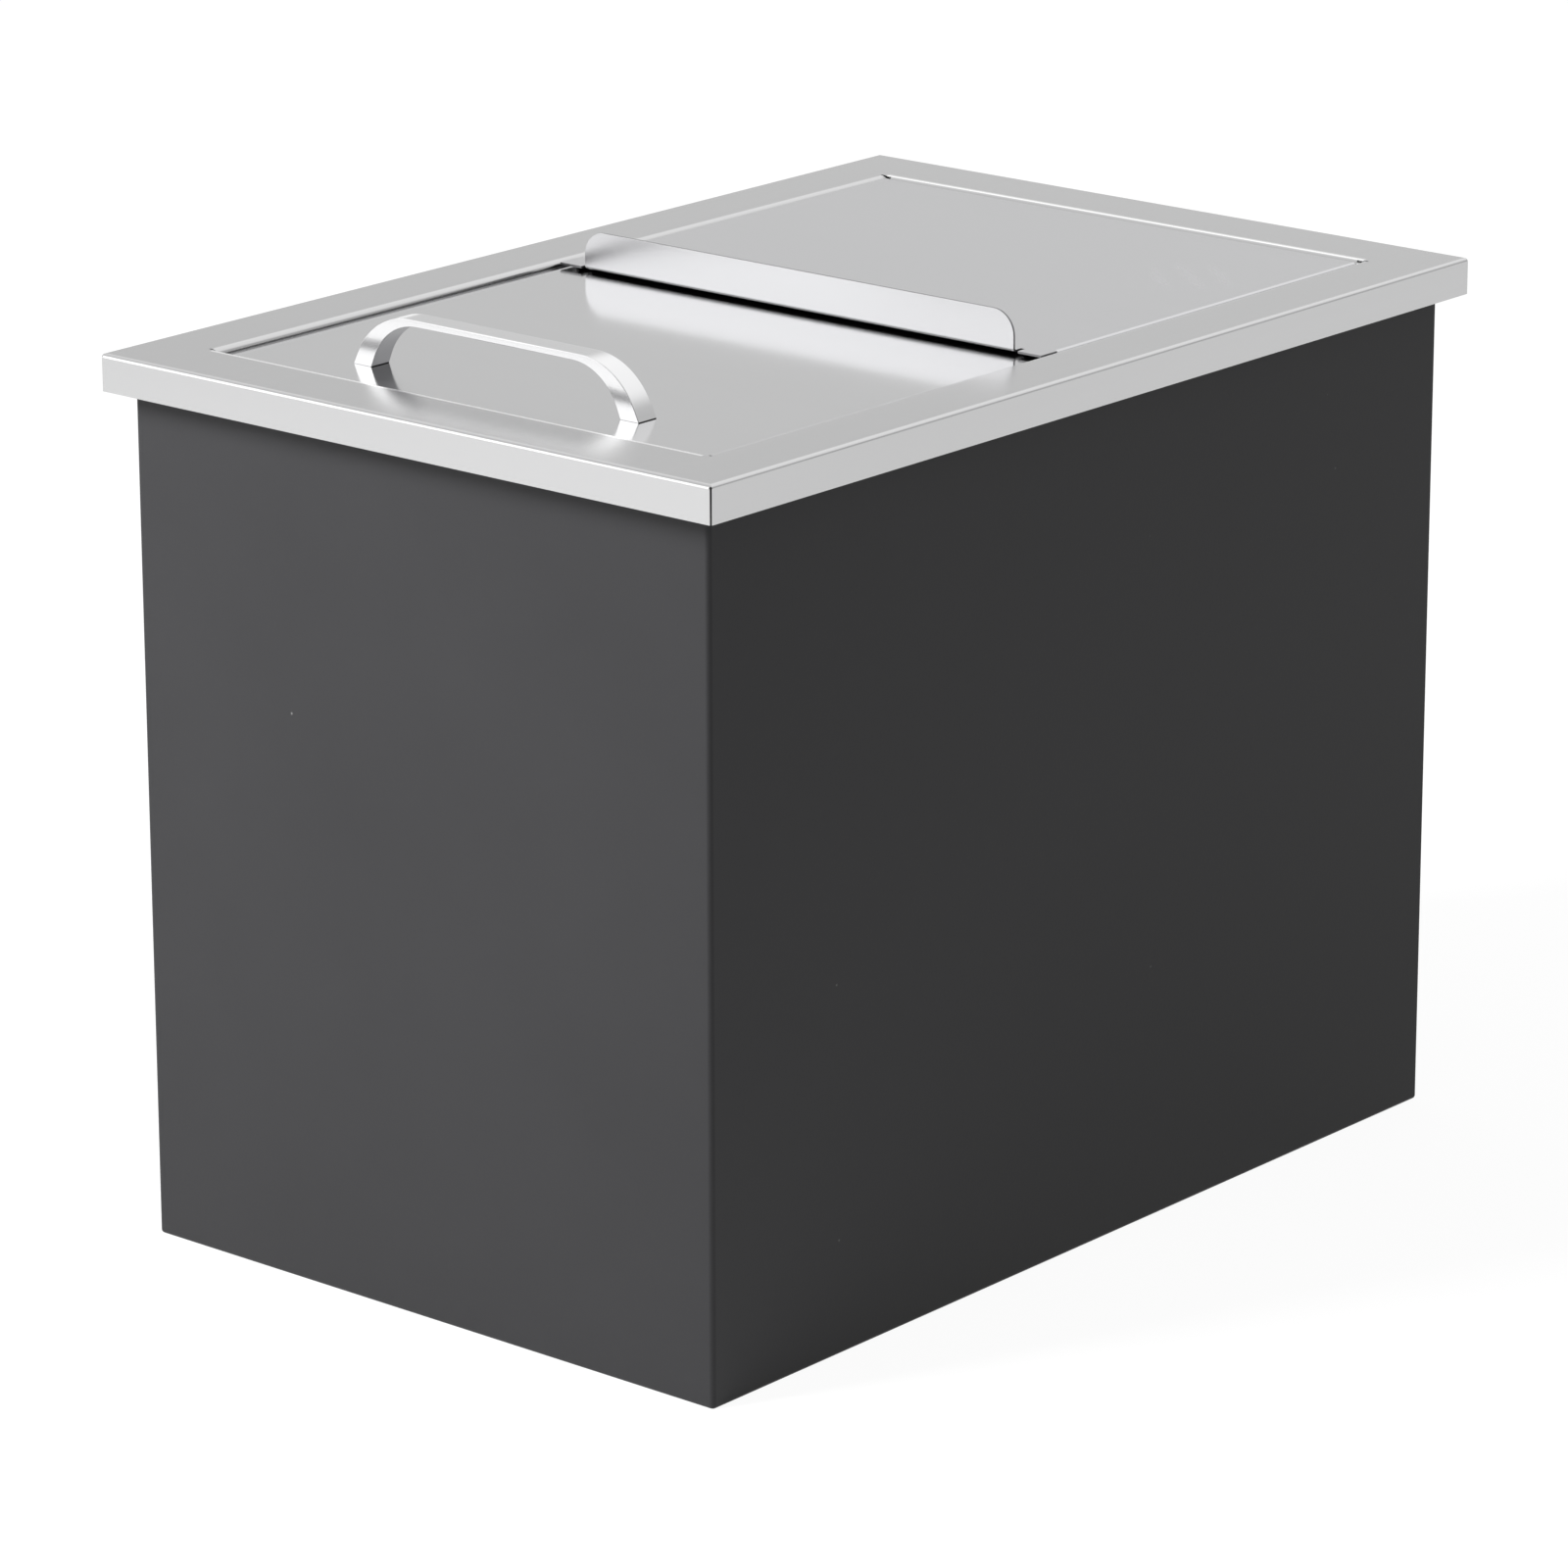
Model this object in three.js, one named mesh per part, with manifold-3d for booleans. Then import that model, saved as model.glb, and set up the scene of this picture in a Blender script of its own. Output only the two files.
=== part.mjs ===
// A drop-in ice bin: a foam-filled double-walled box that hangs in a worktop by its folded rim.
// A polished front cover slides back under a rear cover, which lifts out, and a drain takes the melt water.
// X runs across the short side, Y along the long side with the handle end at -Y, and Z is up.
// The origin is the centre of the base. All lengths are in millimetres.
import * as THREE from "three";
import { mergeVertices } from "three/addons/utils/BufferGeometryUtils.js";
import Module from "manifold-3d";

// Rim: one folded sheet with a turned-down lip outside and a turned-down return inside
const rimWidth = 310;
const rimLength = 470;
const rimHeight = 361;
const rimSheet = 1;
const lipDepth = 15;
const lipBend = 3;
const lipCornerRadius = 1.2;
const lipSeamGap = 0.7;
const lipSeamLength = 8;
const lipSeamCover = 0.8;
const rimSideBand = 30;
const rimEndBand = 33;
const openingBend = 2;
const openingCornerRadius = 1;
const reliefLength = 7;
const reliefWidth = 1.2;

// Covers and the ledge that they lie on
const coverSheet = 1;
const rearCoverRecess = 0.4;
const slideGap = 1.2;
const coverEndGap = 1;
const rearCoverSideGap = 1;
const frontCoverSideGap = 1;
const coverCornerRadius = 1.5;
const coverOverlap = 20;
const coverBend = 1.5;
const returnSetback = 10;
const meetingLine = -5.5;
const flangeHeight = 15.2;
const flangeBend = 1.6;
const flangeCornerRadius = 10;
const tongueLength = 13.5;
const tongueNotchWidth = 2;
const tongueNotchDepth = 4.5;

// Handle: a flat bar arched between two feet, screwed on from below
const handleOffset = -3.5;
const handleSetback = 29.2;
const handleLength = 146;
const handleDepth = 10;
const handleRise = 21.8;
const handleBarThickness = 2.7;
const handleFootWidth = 9.6;
const handleOuterBend = 30;
const handleInnerBend = 24;
const handleFootAngle = 65;
const handleInnerAngle = 68;
const handleEdge = 0.5;
const screwInset = 6.4;
const screwRadius = 2;
const screwClearance = 0.15;
const screwDepth = 6;
const screwEndGap = 0.5;
const screwHeadRadius = 4;
const screwHeadHeight = 2.5;
const screwSlotWidth = 1;
const screwSlotDepth = 1.2;
const washerRadius = 4.5;
const washerThickness = 0.8;

// Basin: the inner liner, with a ledge at its top and a recess for the drain in its floor
const ledgeWidth = 10;
const linerSheet = 1;
const linerUpstand = 1.5;
const cavityCornerRadius = 14;
const floorFillet = 8;
const floorHeight = 32;

// Outer jacket: one wrapped sheet with a lapped and riveted seam on the back, and a bottom panel
const overhang = 9;
const jacketSheet = 1;
const jacketCornerRadius = 2;
const jacketEdgeBend = 1.5;
const topFlange = 13;
const bottomFlange = 16;
const seamInset = 47.5;
const seamGroove = 0.6;
const lapWidth = 20;
const rivetCount = 5;
const rivetEndDistance = 30;
const rivetRadius = 1.6;
const rivetClearance = 0.1;
const rivetHeadRadius = 3.2;
const rivetHeadHeight = 1.2;
const rivetTailRadius = 2.2;
const rivetTailLength = 2;
const panelClearance = 0.5;
const panelJoggle = 1.5;
const panelCornerRadius = 3;

// Foam boards between the liner and the jacket
const foamClearance = 0.5;
const foamSeamClearance = 4.5;
const drainWell = 56;

// Drain: a flanged outlet clamped through the basin floor, and its stopper
const drainBore = 10;
const drainSeatRadius = 12;
const drainSeatDepth = 4;
const drainTubeRadius = 13.5;
const drainHoleClearance = 0.5;
const drainFlangeRadius = 23;
const drainFlangeThickness = 1.5;
const drainRecessRadius = 25;
const gasketThickness = 1;
const gasketInset = 1;
const lockNutRadius = 20.5;
const lockNutHeight = 6;
const lockNutClearance = 0.3;
const outletRecess = 0.5;
const outletHoleRadius = 18;
const grommetClearance = 0.3;
const grommetFlangeRadius = 21;
const grommetFlangeThickness = 2;
const plugClearance = 0.4;
const plugDepth = 8;
const plugFlangeRadius = 16;
const plugFlangeThickness = 2.2;
const plugStemRadius = 3;
const plugStemHeight = 3;
const plugKnobRadius = 6;
const plugKnobHeight = 3;

// Shared by all cuts and all round shapes
const overrun = 1;
const sharpRadius = 0.15;
const cornerSteps = 4;
const bendSteps = 4;
const roundSteps = 40;
const nutSides = 6;
const rightAngle = Math.PI / 2;

// Places worked out from the sizes
const rimHalf = { x: rimWidth / 2, y: rimLength / 2, r: lipCornerRadius };
const openingHalf = {
  x: rimHalf.x - rimSideBand,
  y: rimHalf.y - rimEndBand,
  r: openingCornerRadius,
};
const cavityHalf = {
  x: openingHalf.x - ledgeWidth,
  y: openingHalf.y - ledgeWidth,
  r: cavityCornerRadius,
};
const jacketHalf = { x: rimHalf.x - overhang, y: rimHalf.y - overhang, r: jacketCornerRadius };
const jacketInside = { x: jacketHalf.x - jacketSheet, y: jacketHalf.y - jacketSheet };
const seamX = jacketHalf.x - seamInset;
const rearCoverTop = rimHeight - rearCoverRecess;
const frontCoverTop = rearCoverTop - coverSheet - slideGap;
const ledgeTop = frontCoverTop - coverSheet;
const ledgeUnderside = ledgeTop - linerSheet;
const jacketTop = rimHeight - rimSheet;
const floorUnderside = floorHeight - linerSheet;
const panelTop = jacketSheet;
const recessFloor = floorHeight - drainFlangeThickness - gasketThickness;
const recessUnderside = recessFloor - linerSheet;
const frontCoverFront = -openingHalf.y + coverEndGap;
const frontCoverBack = meetingLine + coverOverlap;
const rearCoverBack = openingHalf.y - coverEndGap;
const rearCoverHalfWidth = openingHalf.x - rearCoverSideGap;
const frontCoverHalfWidth = rearCoverHalfWidth - coverSheet - frontCoverSideGap;
const handleY = frontCoverFront + handleSetback;
const handleScrewX = handleLength / 2 - screwInset;

const wasm = await Module();
wasm.setup();

// Looks of the materials
const finish = (color, roughness, metalness) => new THREE.MeshStandardMaterial({ color, roughness, metalness });
const brushedSteel = finish("#c0c0c2", 0.35, 1);
const polishedSteel = finish("#c8c8ca", 0.12, 1);
const polishedChrome = finish("#e6e6e8", 0.06, 1);
const basinSteel = finish("#b6b7b9", 0.4, 1);
const blackCoating = finish("#2b2b2d", 0.45, 0);
const blackCoatedBase = finish("#252527", 0.5, 0);
const zincPlate = finish("#a9abae", 0.4, 1);
const whiteFoam = finish("#e9e6da", 0.9, 0);
const blackRubber = finish("#1c1c1d", 0.7, 0);

// A solid from points and triangles, turned the right way out.
function solidOf(points, triangles) {
  const build = (triVerts) =>
    new wasm.Manifold(new wasm.Mesh({ numProp: 3, vertProperties: points, triVerts }));
  const made = build(triangles);
  if (made.volume() > 0) return made;
  return build(triangles.map((_, i) => triangles[i - (i % 3) + ((3 - (i % 3)) % 3)]));
}

// A solid from a closed three.js geometry.
function solidFrom(geometry) {
  geometry.deleteAttribute("normal");
  geometry.deleteAttribute("uv");
  const merged = mergeVertices(geometry);
  return solidOf(merged.attributes.position.array, new Uint32Array(merged.index.array));
}

// A named mesh from a solid, placed at a point of its group.
function meshOf(name, solid, material, place = [0, 0, 0]) {
  const { vertProperties, triVerts } = solid.getMesh();
  const geometry = new THREE.BufferGeometry();
  geometry.setAttribute("position", new THREE.BufferAttribute(vertProperties, 3));
  geometry.setIndex(new THREE.BufferAttribute(triVerts, 1));
  geometry.computeVertexNormals();
  const mesh = new THREE.Mesh(geometry, material);
  mesh.name = name;
  mesh.position.set(...place);
  return mesh;
}

// A box between two corners.
function boxSolid([x0, y0, z0], [x1, y1, z1]) {
  const geometry = new THREE.BoxGeometry(x1 - x0, y1 - y0, z1 - z0);
  geometry.translate((x0 + x1) / 2, (y0 + y1) / 2, (z0 + z1) / 2);
  return solidFrom(geometry);
}

// A solid of revolution about Z, from points of radius and height.
function turnedSolid(outline, steps = roundSteps) {
  const points = outline.map(([radius, height]) => new THREE.Vector2(radius, height));
  const geometry = new THREE.LatheGeometry(points, steps);
  geometry.rotateX(rightAngle);
  return solidFrom(geometry);
}

// A round rod along Z.
function rodSolid(radius, low, high) {
  return turnedSolid([[0, low], [radius, low], [radius, high], [0, high]]);
}

// The points of one level ring, a rounded rectangle about the Z axis.
function ringPoints({ x, y, r, z }) {
  const signs = [[1, 1], [-1, 1], [-1, -1], [1, -1]];
  return signs.flatMap(([signX, signY], quarter) =>
    Array.from({ length: cornerSteps + 1 }, (_, step) => {
      const angle = (quarter + step / cornerSteps) * rightAngle;
      const along = signX * (x - r) + r * Math.cos(angle);
      const across = signY * (y - r) + r * Math.sin(angle);
      return [along, across, z];
    }),
  );
}

// A folded sheet skinned over level rings. It closes on itself, or ends in a cap on its first and last ring.
function foldedSolid(rings, capped = false) {
  const points = rings.flatMap(ringPoints);
  const count = points.length / rings.length;
  const spans = capped ? rings.length - 1 : rings.length;
  const triangles = [];
  for (let span = 0; span < spans; span += 1) {
    const here = span * count;
    const next = ((span + 1) % rings.length) * count;
    for (let i = 0; i < count; i += 1) {
      const j = (i + 1) % count;
      triangles.push(here + i, here + j, next + j, here + i, next + j, next + i);
    }
  }
  const lastRing = spans * count;
  for (let i = 1; capped && i < count - 1; i += 1) {
    triangles.push(0, i + 1, i, lastRing, lastRing + i, lastRing + i + 1);
  }
  return solidOf(new Float32Array(points.flat()), new Uint32Array(triangles));
}

// A ring drawn in by a distance from a rounded rectangle, at a height.
function ring(base, inset, z) {
  return { x: base.x - inset, y: base.y - inset, r: Math.max(base.r - inset, sharpRadius), z };
}

// Rings along a bend of a fold, about a centre that lies inset from the base, from one angle to another.
function bendRings(base, centreInset, centreZ, radius, from, to) {
  return Array.from({ length: bendSteps + 1 }, (_, step) => {
    const angle = (from + ((to - from) * step) / bendSteps) * rightAngle;
    return ring(base, centreInset - radius * Math.cos(angle), centreZ + radius * Math.sin(angle));
  });
}

// An outline in X and Z, drawn out along Y about its middle plane, with eased edges if asked.
function drawnAlongY(shape, depth, edge = 0) {
  const geometry = new THREE.ExtrudeGeometry(shape, {
    depth: depth - edge - edge,
    curveSegments: cornerSteps + cornerSteps,
    bevelEnabled: edge > 0,
    bevelThickness: edge,
    bevelSize: edge,
    bevelOffset: -edge,
    bevelSegments: 2,
  });
  geometry.rotateX(rightAngle);
  geometry.translate(0, (depth - edge - edge) / 2, 0);
  return solidFrom(geometry);
}

// Rim frame: lip, top and opening return in one sheet, with open seams at the lip corners
// and a relief cut at each end of the front and back returns.
function makeRimFrame() {
  const outerCentre = rimHeight - lipBend;
  const innerCentre = rimHeight - openingBend;
  const lipBottom = rimHeight - lipDepth;
  const seamLow = lipBottom - overrun;
  const seamHigh = rimHeight - lipSeamCover;
  const rings = [
    ring(rimHalf, 0, lipBottom),
    ...bendRings(rimHalf, lipBend, outerCentre, lipBend, 0, 1),
    ...bendRings(openingHalf, -openingBend, innerCentre, openingBend, 1, 2),
    ring(openingHalf, 0, ledgeTop),
    ring(openingHalf, -rimSheet, ledgeTop),
    ...bendRings(openingHalf, -openingBend, innerCentre, openingBend - rimSheet, 2, 1),
    ...bendRings(rimHalf, lipBend, outerCentre, lipBend - rimSheet, 1, 0),
    ring(rimHalf, rimSheet, lipBottom),
  ];
  let solid = foldedSolid(rings);
  for (const signX of [-1, 1]) {
    for (const signY of [-1, 1]) {
      const seam = new THREE.BoxGeometry(lipSeamLength, lipSeamGap, seamHigh - seamLow);
      seam.rotateZ((signX * signY * rightAngle) / 2);
      seam.translate(signX * rimHalf.x, signY * rimHalf.y, (seamLow + seamHigh) / 2);
      solid = solid.subtract(solidFrom(seam));
      const reliefDepth = rimHeight - ledgeTop + overrun;
      const relief = new THREE.BoxGeometry(reliefLength, reliefWidth, reliefDepth + reliefDepth);
      relief.translate(signX * openingHalf.x, signY * (openingHalf.y + rimSheet), rimHeight);
      solid = solid.subtract(solidFrom(relief));
    }
  }
  return meshOf("rim_frame", solid, brushedSteel);
}

// Inner liner: a seamless basin whose top folds out to the cover ledge and up behind the rim's return.
function makeInnerLiner() {
  const filletCentre = floorHeight + floorFillet;
  const behindReturn = -rimSheet;
  const rings = [
    ...bendRings(cavityHalf, floorFillet, filletCentre, floorFillet + linerSheet, -1, 0),
    ring(cavityHalf, -linerSheet, ledgeUnderside),
    ring(openingHalf, behindReturn - linerSheet, ledgeUnderside),
    ring(openingHalf, behindReturn - linerSheet, ledgeTop + linerUpstand),
    ring(openingHalf, behindReturn, ledgeTop + linerUpstand),
    ring(openingHalf, behindReturn, ledgeTop),
    ring(cavityHalf, 0, ledgeTop),
    ...bendRings(cavityHalf, floorFillet, filletCentre, floorFillet, 0, -1),
  ];
  const solid = foldedSolid(rings, true)
    .add(rodSolid(drainRecessRadius + linerSheet, recessUnderside, floorUnderside + linerSheet / 2))
    .subtract(rodSolid(drainRecessRadius, recessFloor, floorHeight + overrun))
    .subtract(rodSolid(drainTubeRadius + drainHoleClearance, recessUnderside - overrun, floorHeight));
  return meshOf("inner_liner", solid, basinSteel);
}

// Heights of the rivets along the seam on the back.
function rivetHeights() {
  const reach = jacketTop - rivetEndDistance - rivetEndDistance;
  return Array.from({ length: rivetCount }, (_, i) => rivetEndDistance + (reach * i) / (rivetCount - 1));
}

// Outer jacket: the wrapped sheet, its top and bottom flanges, and the lapped seam with its rivet holes.
function makeOuterJacket() {
  const innerBend = jacketEdgeBend - jacketSheet;
  const lowCentre = jacketEdgeBend;
  const highCentre = jacketTop - jacketEdgeBend;
  const rings = [
    ring(jacketHalf, bottomFlange, 0),
    ...bendRings(jacketHalf, jacketEdgeBend, lowCentre, jacketEdgeBend, -1, 0),
    ...bendRings(jacketHalf, jacketEdgeBend, highCentre, jacketEdgeBend, 0, 1),
    ring(jacketHalf, topFlange, jacketTop),
    ring(jacketHalf, topFlange, jacketTop - jacketSheet),
    ...bendRings(jacketHalf, jacketEdgeBend, highCentre, innerBend, 1, 0),
    ...bendRings(jacketHalf, jacketEdgeBend, lowCentre, innerBend, 0, -1),
    ring(jacketHalf, bottomFlange, jacketSheet),
  ];
  const lapLow = jacketEdgeBend + jacketSheet;
  const lap = boxSolid(
    [seamX - lapWidth / 2, jacketInside.y - jacketSheet, lapLow],
    [seamX + lapWidth / 2, jacketInside.y + jacketSheet / 2, jacketTop - lapLow],
  );
  const grooveEdge = seamX - lapWidth / 2 + seamGroove;
  const groove = boxSolid(
    [grooveEdge, jacketInside.y, jacketEdgeBend],
    [grooveEdge + seamGroove, jacketHalf.y + overrun, highCentre],
  );
  let solid = foldedSolid(rings).add(lap).subtract(groove);
  const holeRadius = rivetRadius + rivetClearance;
  const holeDepth = jacketSheet + jacketSheet + overrun;
  for (const height of rivetHeights()) {
    const hole = new THREE.CylinderGeometry(holeRadius, holeRadius, holeDepth + holeDepth, roundSteps / 2);
    hole.translate(seamX, jacketHalf.y, height);
    solid = solid.subtract(solidFrom(hole));
  }
  return meshOf("outer_jacket", solid, blackCoating);
}

// Blind rivets: a domed head on the jacket, a shank through both layers and a set tail inside.
function makeSeamRivets() {
  const through = jacketSheet + jacketSheet;
  const shank = rivetHeadHeight + through + rivetClearance;
  return rivetHeights().map((height, i) => {
    const outline = [
      [0, 0],
      [rivetHeadRadius / 2, rivetHeadHeight / 4],
      [rivetHeadRadius, rivetHeadHeight],
      [rivetRadius, rivetHeadHeight],
      [rivetRadius, shank],
      [rivetTailRadius, shank],
      [rivetTailRadius, shank + rivetTailLength],
      [0, shank + rivetTailLength],
    ];
    const geometry = new THREE.LatheGeometry(
      outline.map(([radius, along]) => new THREE.Vector2(radius, rivetHeadHeight - along)),
      roundSteps / 2,
    );
    const place = [seamX, jacketHalf.y, height];
    return meshOf(`seam_rivet_${i + 1}`, solidFrom(geometry), blackCoating, place);
  });
}

// Bottom panel: its edge lies on the jacket's flange and its middle is pressed down level with it.
function makeBottomPanel() {
  const edge = {
    x: jacketInside.x - panelClearance,
    y: jacketInside.y - panelClearance,
    r: panelCornerRadius,
  };
  const step = bottomFlange - jacketSheet;
  const rings = [
    ring(edge, step + panelJoggle, 0),
    ring(edge, step, jacketSheet),
    ring(edge, 0, jacketSheet),
    ring(edge, 0, jacketSheet + jacketSheet),
    ring(edge, step, jacketSheet + jacketSheet),
    ring(edge, step + panelJoggle, jacketSheet),
  ];
  const solid = foldedSolid(rings, true).subtract(rodSolid(outletHoleRadius, -overrun, panelTop + overrun));
  return meshOf("bottom_panel", solid, blackCoatedBase);
}

// Foam boards: four walls round the basin, and four pieces of floor round the drain well.
function makeFoamBoards() {
  const wall = { x: cavityHalf.x + linerSheet, y: cavityHalf.y + linerSheet };
  const out = { x: jacketInside.x - foamClearance, y: jacketInside.y - foamClearance };
  const backOut = jacketInside.y - foamSeamClearance;
  const low = jacketSheet + jacketSheet;
  const well = drainWell / 2;
  const boards = {
    foam_wall_left: [[-out.x, -wall.y, low], [-wall.x, wall.y, ledgeUnderside]],
    foam_wall_right: [[wall.x, -wall.y, low], [out.x, wall.y, ledgeUnderside]],
    foam_wall_front: [[-out.x, -out.y, low], [out.x, -wall.y, ledgeUnderside]],
    foam_wall_back: [[-out.x, wall.y, low], [out.x, backOut, ledgeUnderside]],
    foam_floor_front: [[-wall.x, -wall.y, panelTop], [wall.x, -well, floorUnderside]],
    foam_floor_back: [[-wall.x, well, panelTop], [wall.x, wall.y, floorUnderside]],
    foam_floor_left: [[-wall.x, -well, panelTop], [-well, well, floorUnderside]],
    foam_floor_right: [[well, -well, panelTop], [wall.x, well, floorUnderside]],
  };
  return Object.entries(boards).map(([name, [from, to]]) => meshOf(name, boxSolid(from, to), whiteFoam));
}

// Drain outlet: a flanged tube with a tapered seat, let into the recess of the basin floor.
function makeDrainOutlet() {
  const flangeLow = floorHeight - drainFlangeThickness;
  const outline = [
    [drainBore, outletRecess],
    [drainTubeRadius, outletRecess],
    [drainTubeRadius, flangeLow],
    [drainFlangeRadius, flangeLow],
    [drainFlangeRadius, floorHeight],
    [drainSeatRadius, floorHeight],
    [drainBore, floorHeight - drainSeatDepth],
    [drainBore, outletRecess],
  ];
  return meshOf("drain_outlet", turnedSolid(outline), zincPlate);
}

// Drain gasket: a flat ring between the outlet's flange and the basin.
function makeDrainGasket() {
  const inner = drainTubeRadius + lockNutClearance;
  const outer = drainFlangeRadius - gasketInset;
  const top = recessFloor + gasketThickness;
  const outline = [[inner, recessFloor], [outer, recessFloor], [outer, top], [inner, top], [inner, recessFloor]];
  return meshOf("drain_gasket", turnedSolid(outline), blackRubber);
}

// Drain lock nut: it clamps the basin floor from below.
function makeDrainLockNut() {
  const low = recessUnderside - lockNutHeight;
  const body = turnedSolid(
    [[0, low], [lockNutRadius, low], [lockNutRadius, recessUnderside], [0, recessUnderside]],
    nutSides,
  );
  const bore = rodSolid(drainTubeRadius + lockNutClearance, low - overrun, recessUnderside + overrun);
  return meshOf("drain_lock_nut", body.subtract(bore), zincPlate);
}

// Outlet grommet: a rubber ring that closes the bottom panel round the outlet.
function makeOutletGrommet() {
  const inner = drainTubeRadius + grommetClearance;
  const neck = outletHoleRadius - grommetClearance;
  const top = panelTop + grommetFlangeThickness;
  const outline = [
    [inner, outletRecess],
    [neck, outletRecess],
    [neck, panelTop],
    [grommetFlangeRadius, panelTop],
    [grommetFlangeRadius, top],
    [inner, top],
    [inner, outletRecess],
  ];
  return meshOf("outlet_grommet", turnedSolid(outline), blackRubber);
}

// Drain plug: a tapered rubber stopper with a flange and a knob to pull it by, at the basin floor.
function makeDrainPlug() {
  const taper = (drainSeatRadius - drainBore) / drainSeatDepth;
  const top = drainSeatRadius - plugClearance;
  const stemTop = plugFlangeThickness + plugStemHeight;
  const knobTop = stemTop + plugKnobHeight;
  const outline = [
    [0, -plugDepth],
    [drainBore - plugClearance, -plugDepth],
    [drainBore - plugClearance, -drainSeatDepth],
    [top - taper * plugClearance, -plugClearance],
    [top - taper * plugClearance, 0],
    [plugFlangeRadius, 0],
    [plugFlangeRadius - plugFlangeThickness / 2, plugFlangeThickness],
    [plugStemRadius, plugFlangeThickness],
    [plugStemRadius, stemTop],
    [plugKnobRadius, stemTop + plugKnobHeight / 3],
    [plugKnobRadius, knobTop - plugKnobHeight / 3],
    [plugKnobRadius / 2, knobTop],
    [0, knobTop],
  ];
  return meshOf("drain_plug", turnedSolid(outline), blackRubber);
}

// Front cover: a flat polished sheet with two screw holes for the handle. Its group lies on the ledge.
function makeFrontCover() {
  const outline = {
    x: frontCoverHalfWidth,
    y: (frontCoverBack - frontCoverFront) / 2,
    r: coverCornerRadius,
  };
  let solid = foldedSolid([ring(outline, 0, 0), ring(outline, 0, coverSheet)], true);
  solid = solid.translate([0, (frontCoverFront + frontCoverBack) / 2, 0]);
  for (const sign of [-1, 1]) {
    const hole = rodSolid(screwRadius + screwClearance, -overrun, coverSheet + overrun);
    solid = solid.subtract(hole.translate([handleOffset + sign * handleScrewX, handleY, 0]));
  }
  return meshOf("front_cover", solid, polishedSteel);
}

// The curve of the bar from the outside of a foot up to its level top, as distances from the foot
// and heights, for one side of the bar.
function handleCurve(rise, bend, footAngle) {
  const angle = THREE.MathUtils.degToRad(footAngle);
  const straight = (rise - bend * (1 - Math.cos(angle))) / Math.sin(angle);
  const centre = straight * Math.cos(angle) + bend * Math.sin(angle);
  const steps = bendSteps * 3;
  const arc = Array.from({ length: steps + 1 }, (_, step) => {
    const turn = angle * (1 - step / steps);
    return [centre - bend * Math.sin(turn), rise - bend * (1 - Math.cos(turn))];
  });
  return [[0, 0], ...arc];
}

// Handle: the arched bar, with a screw hole up into each foot. Its origin is on the cover between the feet.
function makeHandle() {
  const half = handleLength / 2;
  const inside = half - handleFootWidth;
  const outer = handleCurve(handleRise, handleOuterBend, handleFootAngle);
  const inner = handleCurve(handleRise - handleBarThickness, handleInnerBend, handleInnerAngle);
  const outline = [
    ...outer.map(([x, z]) => [x - half, z]),
    ...outer.map(([x, z]) => [half - x, z]).reverse(),
    ...inner.map(([x, z]) => [inside - x, z]),
    ...inner.map(([x, z]) => [x - inside, z]).reverse(),
  ];
  const shape = new THREE.Shape(outline.map(([x, z]) => new THREE.Vector2(x, z)));
  let solid = drawnAlongY(shape, handleDepth, handleEdge);
  for (const sign of [-1, 1]) {
    const hole = rodSolid(screwRadius + screwClearance, -overrun, screwDepth + screwEndGap);
    solid = solid.subtract(hole.translate([sign * handleScrewX, 0, 0]));
  }
  return meshOf("handle", solid, polishedChrome, [handleOffset, handleY, coverSheet]);
}

// Handle screws and washers, below the front cover.
function makeHandleFixings() {
  return ["left", "right"].flatMap((side, i) => {
    const x = handleOffset + (i === 0 ? -handleScrewX : handleScrewX);
    const hole = screwRadius + screwClearance;
    const washer = turnedSolid([
      [hole, -washerThickness],
      [washerRadius, -washerThickness],
      [washerRadius, 0],
      [hole, 0],
      [hole, -washerThickness],
    ]);
    const headTop = -washerThickness;
    const headLow = headTop - screwHeadHeight;
    const slot = boxSolid(
      [-screwHeadRadius - overrun, -screwSlotWidth / 2, headLow - overrun],
      [screwHeadRadius + overrun, screwSlotWidth / 2, headLow + screwSlotDepth],
    );
    const screw = turnedSolid([
      [0, headLow],
      [screwHeadRadius - screwHeadHeight / 4, headLow],
      [screwHeadRadius, headLow + screwHeadHeight / 2],
      [screwHeadRadius, headTop],
      [screwRadius, headTop],
      [screwRadius, coverSheet + screwDepth],
      [0, coverSheet + screwDepth],
    ]).subtract(slot);
    return [
      meshOf(`handle_washer_${side}`, washer, zincPlate, [x, handleY, 0]),
      meshOf(`handle_screw_${side}`, screw, zincPlate, [x, handleY, 0]),
    ];
  });
}

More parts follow.
